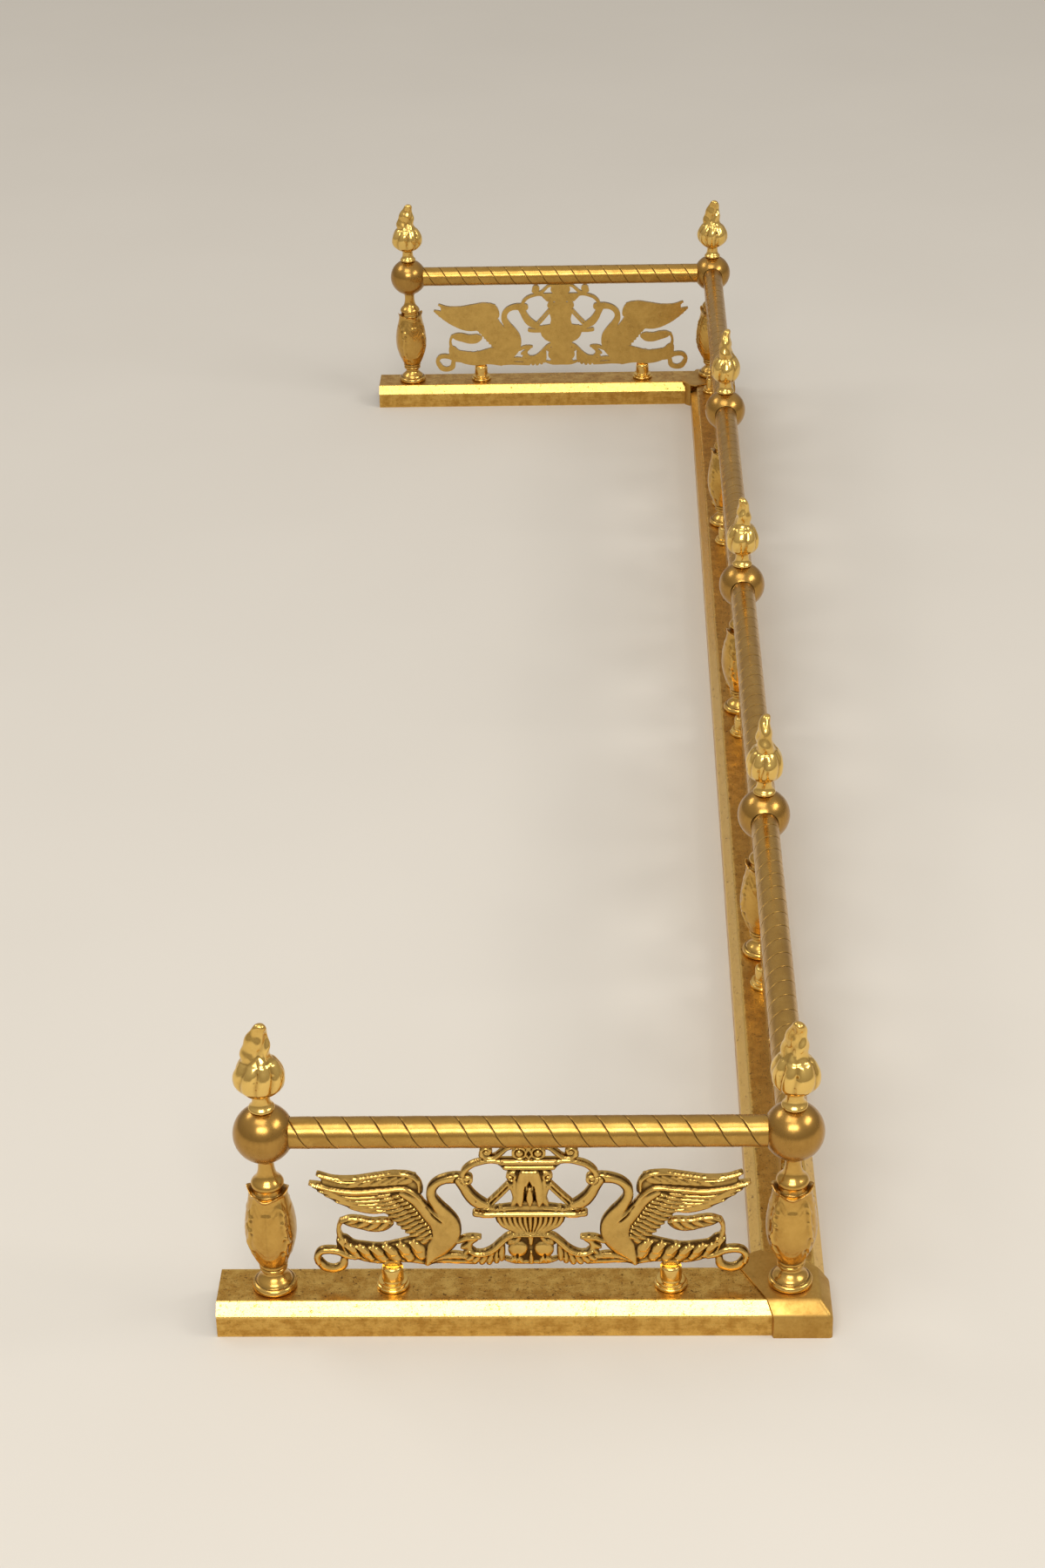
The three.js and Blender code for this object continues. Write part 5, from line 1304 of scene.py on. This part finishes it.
def casting_form(kind):
    """A casting's room side as rows of x, t, height, hollow and worn, its outline on the back,
    and all its faces: the relief cut along the outline, a flat back, and the wall between."""
    half = modelled(kind)
    xs = np.concatenate([half.xs[:-1], -half.xs[:-2][::-1]])
    edge = with_mirror(half.edge)
    metal = edge > 0
    height, hollow, worn = finished_height(edge, with_mirror(half.height), metal)
    X, T = np.meshgrid(xs, half.ts)
    rows, columns = metal.shape
    number = np.full(metal.shape, -1)
    number[metal] = np.arange(metal.sum())
    flat = np.column_stack([grid.ravel() for grid in (X, T, height, hollow, worn)])
    flat_edge, flat_metal = edge.ravel(), metal.ravel()
    points = [flat[flat_metal]]
    total = int(metal.sum())

    def crossings(first, second):
        """New points where the outline crosses between neighbouring grid points."""
        nonlocal total
        cut = flat_metal[first] != flat_metal[second]
        a, b = first[cut], second[cut]
        near_a, near_b = np.clip(flat_edge[a], -0.5, 0.5), np.clip(flat_edge[b], -0.5, 0.5)
        u = np.clip(near_a / (near_a - near_b), 0.12, 0.88)[:, None]
        made = flat[a] + u * (flat[b] - flat[a])
        made[:, 2:] = flat[np.where(flat_metal[a], a, b), 2:]
        made[:, 2] -= 0.15
        points.append(made)
        index = np.full(len(first), -1)
        index[cut] = total + np.arange(len(a))
        total += len(a)
        return index

    grid = np.arange(rows * columns).reshape(rows, columns)
    level = crossings(grid[:, :-1].ravel(), grid[:, 1:].ravel()).reshape(rows, columns - 1)
    steep = crossings(grid[:-1, :].ravel(), grid[1:, :].ravel()).reshape(rows - 1, columns)
    corner = [number[:-1, :-1], number[:-1, 1:], number[1:, 1:], number[1:, :-1]]
    side = [level[:-1, :], steep[:, 1:], level[1:, :], steep[:, :-1]]
    case = sum((c >= 0).astype(int) << i for i, c in enumerate(corner))
    front_faces = [np.column_stack([c[case == 15] for c in corner])]
    wall = []
    for kept in range(1, 15):
        here = case == kept
        if not here.any():
            continue
        has_corner = [kept >> i & 1 for i in range(4)]
        if kept in (5, 10):
            # two opposite corners are metal: two separate triangles
            for i in range(4):
                if has_corner[i]:
                    before, after = side[(i - 1) % 4][here], side[i][here]
                    front_faces.append(np.column_stack([before, corner[i][here], after]))
                    wall.append(np.column_stack([after, before]))
            continue
        around = []
        for i in range(4):
            if has_corner[i]:
                around.append((False, corner[i][here]))
            if has_corner[i] != has_corner[(i + 1) % 4]:
                around.append((True, side[i][here]))
        front_faces.append(np.column_stack([index for _, index in around]))
        for (cut, index), (next_cut, following) in zip(around, around[1:] + around[:1]):
            if cut and next_cut:
                wall.append(np.column_stack([index, following]))
    points, wall = np.vstack(points), np.vstack(wall)
    outline, place = np.unique(wall, return_inverse=True)
    place = place.reshape(wall.shape)
    back = flat_back(points[outline, :2], place)
    walls = np.column_stack([wall[:, 1], wall[:, 0], place[:, 0] + total, place[:, 1] + total])
    return points, points[outline, :2], [*front_faces, back + total, walls]


def flat_back(outline, borders):
    """Triangles, seen from behind, that fill a flat shape with holes between its borders."""
    borders = [tuple(pair) for pair in borders.tolist()]
    corners = [Vector(point) for point in outline.tolist()]
    triangles = delaunay_2d_cdt(corners, borders, [], 0, 1e-7)[2]
    fixed = {frozenset(pair) for pair in borders}
    sharing = {}
    for number, triangle in enumerate(triangles):
        for k in range(3):
            sharing.setdefault(frozenset((triangle[k], triangle[k - 1])), []).append(number)
    inside, waiting = {}, []
    for pair, owners in sharing.items():
        if len(owners) == 1:
            inside[owners[0]] = pair in fixed
            waiting.append(owners[0])
    while waiting:
        number = waiting.pop()
        triangle = triangles[number]
        for k in range(3):
            pair = frozenset((triangle[k], triangle[k - 1]))
            for other in sharing[pair]:
                if other not in inside:
                    inside[other] = inside[number] != (pair in fixed)
                    waiting.append(other)
    return np.array([triangles[number][::-1] for number in sorted(inside) if inside[number]])


def tongues_and_pin(offset):
    """The two tongues in the studs and the pin in the rail, as closed forms of their own."""
    across, through, bottom, top = TONGUE
    points, faces, first = [], [], 0
    for middle in (-offset, offset):
        for z in (bottom, top):
            points += [(middle - across, -through, z), (middle + across, -through, z),
                       (middle + across, through, z), (middle - across, through, z)]
        faces += [[first + i for i in f] for f in [(3, 2, 1, 0), (4, 5, 6, 7), (0, 1, 5, 4),
                                                   (1, 2, 6, 5), (2, 3, 7, 6), (3, 0, 4, 7)]]
        first += 8
    turn = np.arange(PIN_SIDES) / PIN_SIDES * 2 * math.pi
    for z in PIN_ENDS:
        points += [(PIN_RADIUS * math.cos(a), PIN_RADIUS * math.sin(a), z) for a in turn]
    around = first + grid_faces(2, PIN_SIDES)
    ring = first + np.arange(PIN_SIDES)
    return np.array(points), [np.array(faces), around, np.array([ring[::-1], ring + PIN_SIDES])]


casting_forms = {kind: casting_form(kind) for kind in ("front", "return")}


def pierced_casting(name, run, kind, middle):
    """One casting in its bay, with its tongues and its pin."""
    points, outline, faces = casting_forms[kind]

    def placed_across(drawn):
        return middle + drawn[:, 0] * CASTING_STRETCH[kind]

    def placed_up(drawn):
        return CASTING_FOOT_Z + drawn[:, 1] * CASTING_LIFT

    face = np.column_stack([placed_across(points), CASTING_BACK - points[:, 2],
                            placed_up(points)])
    back = np.column_stack([placed_across(outline), np.full(len(outline), CASTING_BACK),
                            placed_up(outline)])
    fixings, blocks = tongues_and_pin(STUD_OFFSET[kind])
    whole = np.vstack([face, back, fixings + [middle, 0, 0]])
    plain = np.zeros(len(back) + len(fixings))
    first = len(face) + len(back)
    piece = metal_piece(f"swan_{name}", placed(run, whole),
                        [*faces, *(group + first for group in blocks)], cast_brass, sharp=55,
                        values={"hollow": np.concatenate([points[:, 3], plain]),
                                "worn": np.concatenate([points[:, 4], plain])})
    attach(piece, "root")
    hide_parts(name)


for bay, middle in FRONT_BAYS.items():
    pierced_casting(f"plaque_{bay}", PLACE_FRONT, "front", middle)
pierced_casting("plaque_return_left", PLACE_LEFT, "return", -RETURN_MIDDLE)
pierced_casting("plaque_return_right", PLACE_RIGHT, "return", RETURN_MIDDLE)


# ---- Finials ----------------------------------------------------------------------------------
# Seven cast and polished flames, screwed down on their balls, so that no two face the same way.
# A collar and neck carry a turban of soft folds, and out of it rises a leaning tongue of flame.
FINIAL_SEAT = 151.08
FINIAL_LINE = [
    # radius, height over the seat, turban, flame, hollow
    (2.6, 0.0, 0, 0, 0), (7.3, 0.0, 0, 0, .3), (7.75, 0.35, 0, 0, 0), (7.8, 1.1, 0, 0, 0),
    (7.5, 1.8, 0, 0, 0), (6.7, 2.7, 0, 0, 0), (5.9, 4.0, 0, 0, 0), (5.4, 5.6, 0, 0, 0),
    (5.25, 7.2, 0, 0, 0), (5.3, 9.0, 0, 0, 0), (5.7, 10.3, 0, 0, .4), (7.2, 11.0, 0, 0, .4),
    (9.2, 12.2, .2, 0, .1), (11.3, 14.2, .5, 0, 0), (13.1, 17.0, .8, 0, 0), (13.8, 20.0, 1, 0, 0),
    (13.9, 23.0, 1, 0, 0), (13.4, 26.0, 1, 0, 0), (12.4, 28.6, .95, 0, 0), (11.3, 30.8, .8, .1, 0),
    (10.0, 32.8, .5, .3, .1), (8.4, 34.4, .25, .5, .3), (7.7, 36.0, .1, .8, .1),
    (7.4, 38.0, 0, 1, 0), (7.2, 40.4, 0, 1, 0), (6.8, 43.2, 0, 1, 0), (6.2, 46.2, 0, 1, 0),
    (5.5, 49.2, 0, 1, 0),
    (4.8, 52.0, 0, 1, 0), (4.3, 54.4, 0, .9, 0), (3.8, 56.2, 0, .7, 0), (3.1, 57.6, 0, .5, 0),
    (2.2, 58.5, 0, .4, 0), (1.1, 59.0, 0, .2, 0), (0.05, 59.1, 0, 0, 0),
]
FINIAL_STEP = 0.5
FINIAL_SIDES = 96
FLAME_FROM = 29
FLAME_LENGTH = 30.1
FLAME_POINT = 0.05
# the direction, height, size and depth of each pit left by the mould
FINIAL_PITS = [
    (0.7, 21, 0.9, 0.9), (1.9, 26, 0.8, 0.8), (3.3, 18, 0.9, 0.9), (4.4, 24, 1.0, 0.9),
    (5.5, 20, 0.8, 0.8), (2.6, 38, 1.2, 0.7), (2.9, 27, 0.8, 0.7), (3.9, 20, 0.7, 0.7),
    (3.2, 53, 1.5, 0.9), (0.3, 54.5, 1.3, 0.8),
]
FINIAL_TURNS = [1.1, 0.3, 2.7, -0.45, 2.5, 0.6, 1.25]

flame_brass = brass("flame_brass", bright=(0.86, 0.585, 0.175), aged=(0.56, 0.32, 0.068),
                    brown=(0.15, 0.07, 0.018), smooth=0.12, rough=0.32, cloud=110.0,
                    tarnish=0.6, spots=0.25, streaks=(130.0, 130.0, 130.0), hollow="hollow",
                    worn="worn", bump=0.08)


def turned_from(angle, direction):
    """The angle from a direction, between minus and plus half a turn."""
    return (angle - direction + math.pi) % (2 * math.pi) - math.pi


def finial(number, x, y, turn):
    """A flame spun from its line, then folded, pitted, twisted and leant."""
    line = smooth_line(FINIAL_LINE, FINIAL_STEP)
    radius, height, folds, flame, hollow = [column[:, None] for column in line.T]
    folds, flame, hollow = (np.clip(part, 0, 1) for part in (folds, flame, hollow))
    angle = (np.arange(FINIAL_SIDES) / FINIAL_SIDES * 2 * math.pi)[None, :]
    # the turban: eight uneven folds that lean over as they rise, soft at their tops
    wander = angle + 0.12 * np.sin(angle + 0.8) + 0.07 * np.sin(2 * angle + 2.1)
    lean = 0.22 * np.sin(height / 8.0) + 0.012 * height
    wave = np.abs(np.sin(4.0 * (wander + lean)))
    crease = np.exp(-(wave / 0.30) ** 2)
    swell = 0.75 + 0.25 * np.sin(3 * angle + 0.4) * near(height, 22, 9)
    fold = folds * swell * (1.5 * wave - 0.9 - 0.8 * crease)
    # the flame: one fat lobe winding up round a hollow, with a sharper ridge beside it
    spin = angle - 0.085 * (height - 34)
    oval = flame * (0.19 * np.cos(2 * (angle - 0.5)) + 0.06 * np.sin(3 * spin + 0.2 * height)
                    + 0.08 * np.sin(0.52 * (height - 36) + angle))
    oval = oval + folds * 0.10 * np.cos(2 * (angle - 0.5))
    cleft, second_cleft = turned_from(spin, 1.9), turned_from(spin, 4.6)
    tongue = flame * (0.75 * near(cleft, 0.55, 0.30) - 1.35 * near(cleft, 0, 0.42))
    tongue = tongue * near(height, 43, 11)
    tongue = tongue - flame * 0.9 * near(second_cleft, 0, 0.34) * near(height, 41, 9)
    made = radius * (1 + oval) + fold + tongue
    for at, level, size, depth in FINIAL_PITS:
        apart = turned_from(angle, at) * radius
        made = made - depth * near(apart, 0, size * 0.8) * near(height, level, size * 1.5)
    made = np.maximum(made, np.minimum(radius, FLAME_POINT))
    # above the turban the flame leans one way and back
    rise = np.clip((height - FLAME_FROM) / FLAME_LENGTH, 0, 1)
    swayed = np.where(height > FLAME_FROM, 1, 0)
    lean_x = swayed * (1.5 * np.sin(rise * 4.2) * rise**0.5 - 1.3 * rise**2)
    lean_y = swayed * (0.9 * np.sin(rise * 5.6 + 0.5) * rise)
    local_x = made * np.cos(angle) + lean_x
    local_y = made * np.sin(angle) + lean_y
    c, s = math.cos(turn), math.sin(turn)
    points = np.stack([x + local_x * c - local_y * s, y + local_x * s + local_y * c,
                       FINIAL_SEAT + height + 0 * angle], -1)
    ring = np.arange(FINIAL_SIDES)
    caps = np.array([ring[::-1], (len(line) - 1) * FINIAL_SIDES + ring])
    in_cleft = flame * near(cleft, 0, 0.3) * 0.4 * near(height, 41, 10)
    dark = np.clip(hollow + folds * crease * 0.4 + in_cleft, 0, 1)
    rub = np.clip(folds * wave**2 + flame * 0.6 * near(cleft, 0.55, 0.4), 0, 1)
    piece = metal_piece(f"flame_finial_{number}", points.reshape(-1, 3),
                        [grid_faces(len(line), FINIAL_SIDES), caps], flame_brass, sharp=70,
                        values={"hollow": dark.ravel(), "worn": rub.ravel()})
    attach(piece, "root")
    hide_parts(f"finial_{number}")


for (number, x, y), turn in zip(POSTS, FINIAL_TURNS):
    finial(number, x, y, turn)


# ---- Floor, light and camera ------------------------------------------------------------------
# A plain pale floor, wide enough to fill every view, soft studio panels overhead and to the
# sides, and a camera in the place it had in the photograph, by the left return.
def pale_floor():
    """Plain warm off-white, matt."""
    finish = bpy.data.materials.new("pale_floor")
    finish.use_nodes = True
    tree = finish.node_tree
    shader = tree.nodes["Principled BSDF"]
    where = wire(tree, "ShaderNodeTexCoord").outputs["Object"]
    cloud = wire(tree, "ShaderNodeTexNoise",
                 {"Vector": where, "Scale": 3.0, "Detail": 3.0}).outputs[0]
    colour = blend_colour(tree, cloud, (0.64, 0.61, 0.56, 1), (0.68, 0.65, 0.60, 1))
    tree.links.new(colour, shader.inputs["Base Color"])
    shader.inputs["Roughness"].default_value = 0.85
    shader.inputs["Specular IOR Level"].default_value = 0.2
    return finish


FLOOR_REACH = 24.0
FLOOR_THICKNESS = 0.02
floor_plan = [(-FLOOR_REACH, -FLOOR_REACH), (FLOOR_REACH, -FLOOR_REACH),
              (FLOOR_REACH, FLOOR_REACH), (-FLOOR_REACH, FLOOR_REACH)]
floor = upright_prism("floor", floor_plan, -FLOOR_THICKNESS, 0.0)
floor.data.materials.append(pale_floor())

world = bpy.data.worlds.new("studio")
bpy.context.scene.world = world
world.use_nodes = True
tree = world.node_tree
direction = wire(tree, "ShaderNodeTexCoord").outputs["Generated"]
sky = wire(tree, "ShaderNodeSeparateXYZ", {0: direction})
overhead = remap(tree, sky.outputs["Z"], -0.05, 0.9)
room = blend_colour(tree, overhead, (0.38, 0.34, 0.285, 1), (0.64, 0.61, 0.57, 1))
tree.links.new(room, tree.nodes["Background"].inputs["Color"])


def panel(name, place, aim, width, height, power, tint=(1.0, 0.97, 0.92)):
    """A soft studio panel facing a point."""
    light = bpy.data.lights.new(name, "AREA")
    light.shape, light.size, light.size_y = "RECTANGLE", width, height
    light.energy, light.color = power, tint
    lamp = bpy.data.objects.new(name, light)
    lamp.location = place
    lamp.rotation_euler = (Vector(aim) - Vector(place)).to_track_quat("-Z", "Y").to_euler()
    bpy.context.scene.collection.objects.link(lamp)


panel("near_panel", (-2.8, 0.1, 2.15), (-0.5, 0, 0), 1.7, 0.8, 36)
panel("ceiling_panel", (-1.5, 0.5, 3.7), (0, 0, 0), 2.2, 1.6, 31)
panel("room_panel", (-0.9, -2.5, 2.3), (0, 0, 0), 1.6, 0.8, 24)
panel("hearth_panel", (0.9, 2.4, 2.6), (0, 0, 0), 1.4, 0.8, 14)

# The photograph's view, solved from its vanishing points and the posts: focal length in pixels
# of its height, then where the camera stands, and how far it looks down and left and is tipped.
PHOTO_HEIGHT = 1800.0
FOCAL_PIXELS = 3461.22
SENSOR_HEIGHT = 36.0
CAMERA_PLACE = (-2.19771, -0.05812, 1.15695)
LOOK_DOWN, LOOK_LEFT, TIPPED = 0.50088, 0.03558, 0.02533
camera_lens = bpy.data.cameras.new("camera")
camera_lens.sensor_fit = "VERTICAL"
camera_lens.sensor_height = SENSOR_HEIGHT
camera_lens.lens = FOCAL_PIXELS * SENSOR_HEIGHT / PHOTO_HEIGHT
camera_lens.clip_end = 60.0
camera = bpy.data.objects.new("camera", camera_lens)
bpy.context.scene.collection.objects.link(camera)
forward = np.array([math.cos(LOOK_DOWN) * math.cos(LOOK_LEFT),
                    math.cos(LOOK_DOWN) * math.sin(LOOK_LEFT), -math.sin(LOOK_DOWN)])
level = np.array([math.sin(LOOK_LEFT), -math.cos(LOOK_LEFT), 0.0])
down = np.cross(forward, level)
right = math.cos(TIPPED) * level + math.sin(TIPPED) * down
lower = -math.sin(TIPPED) * level + math.cos(TIPPED) * down
turned = np.eye(4)
turned[:3, 0], turned[:3, 1], turned[:3, 2] = right, -lower, -forward
turned[:3, 3] = CAMERA_PLACE
camera.matrix_world = Matrix(turned.tolist())
bpy.context.scene.camera = camera
bpy.context.scene.view_settings.view_transform = "Standard"
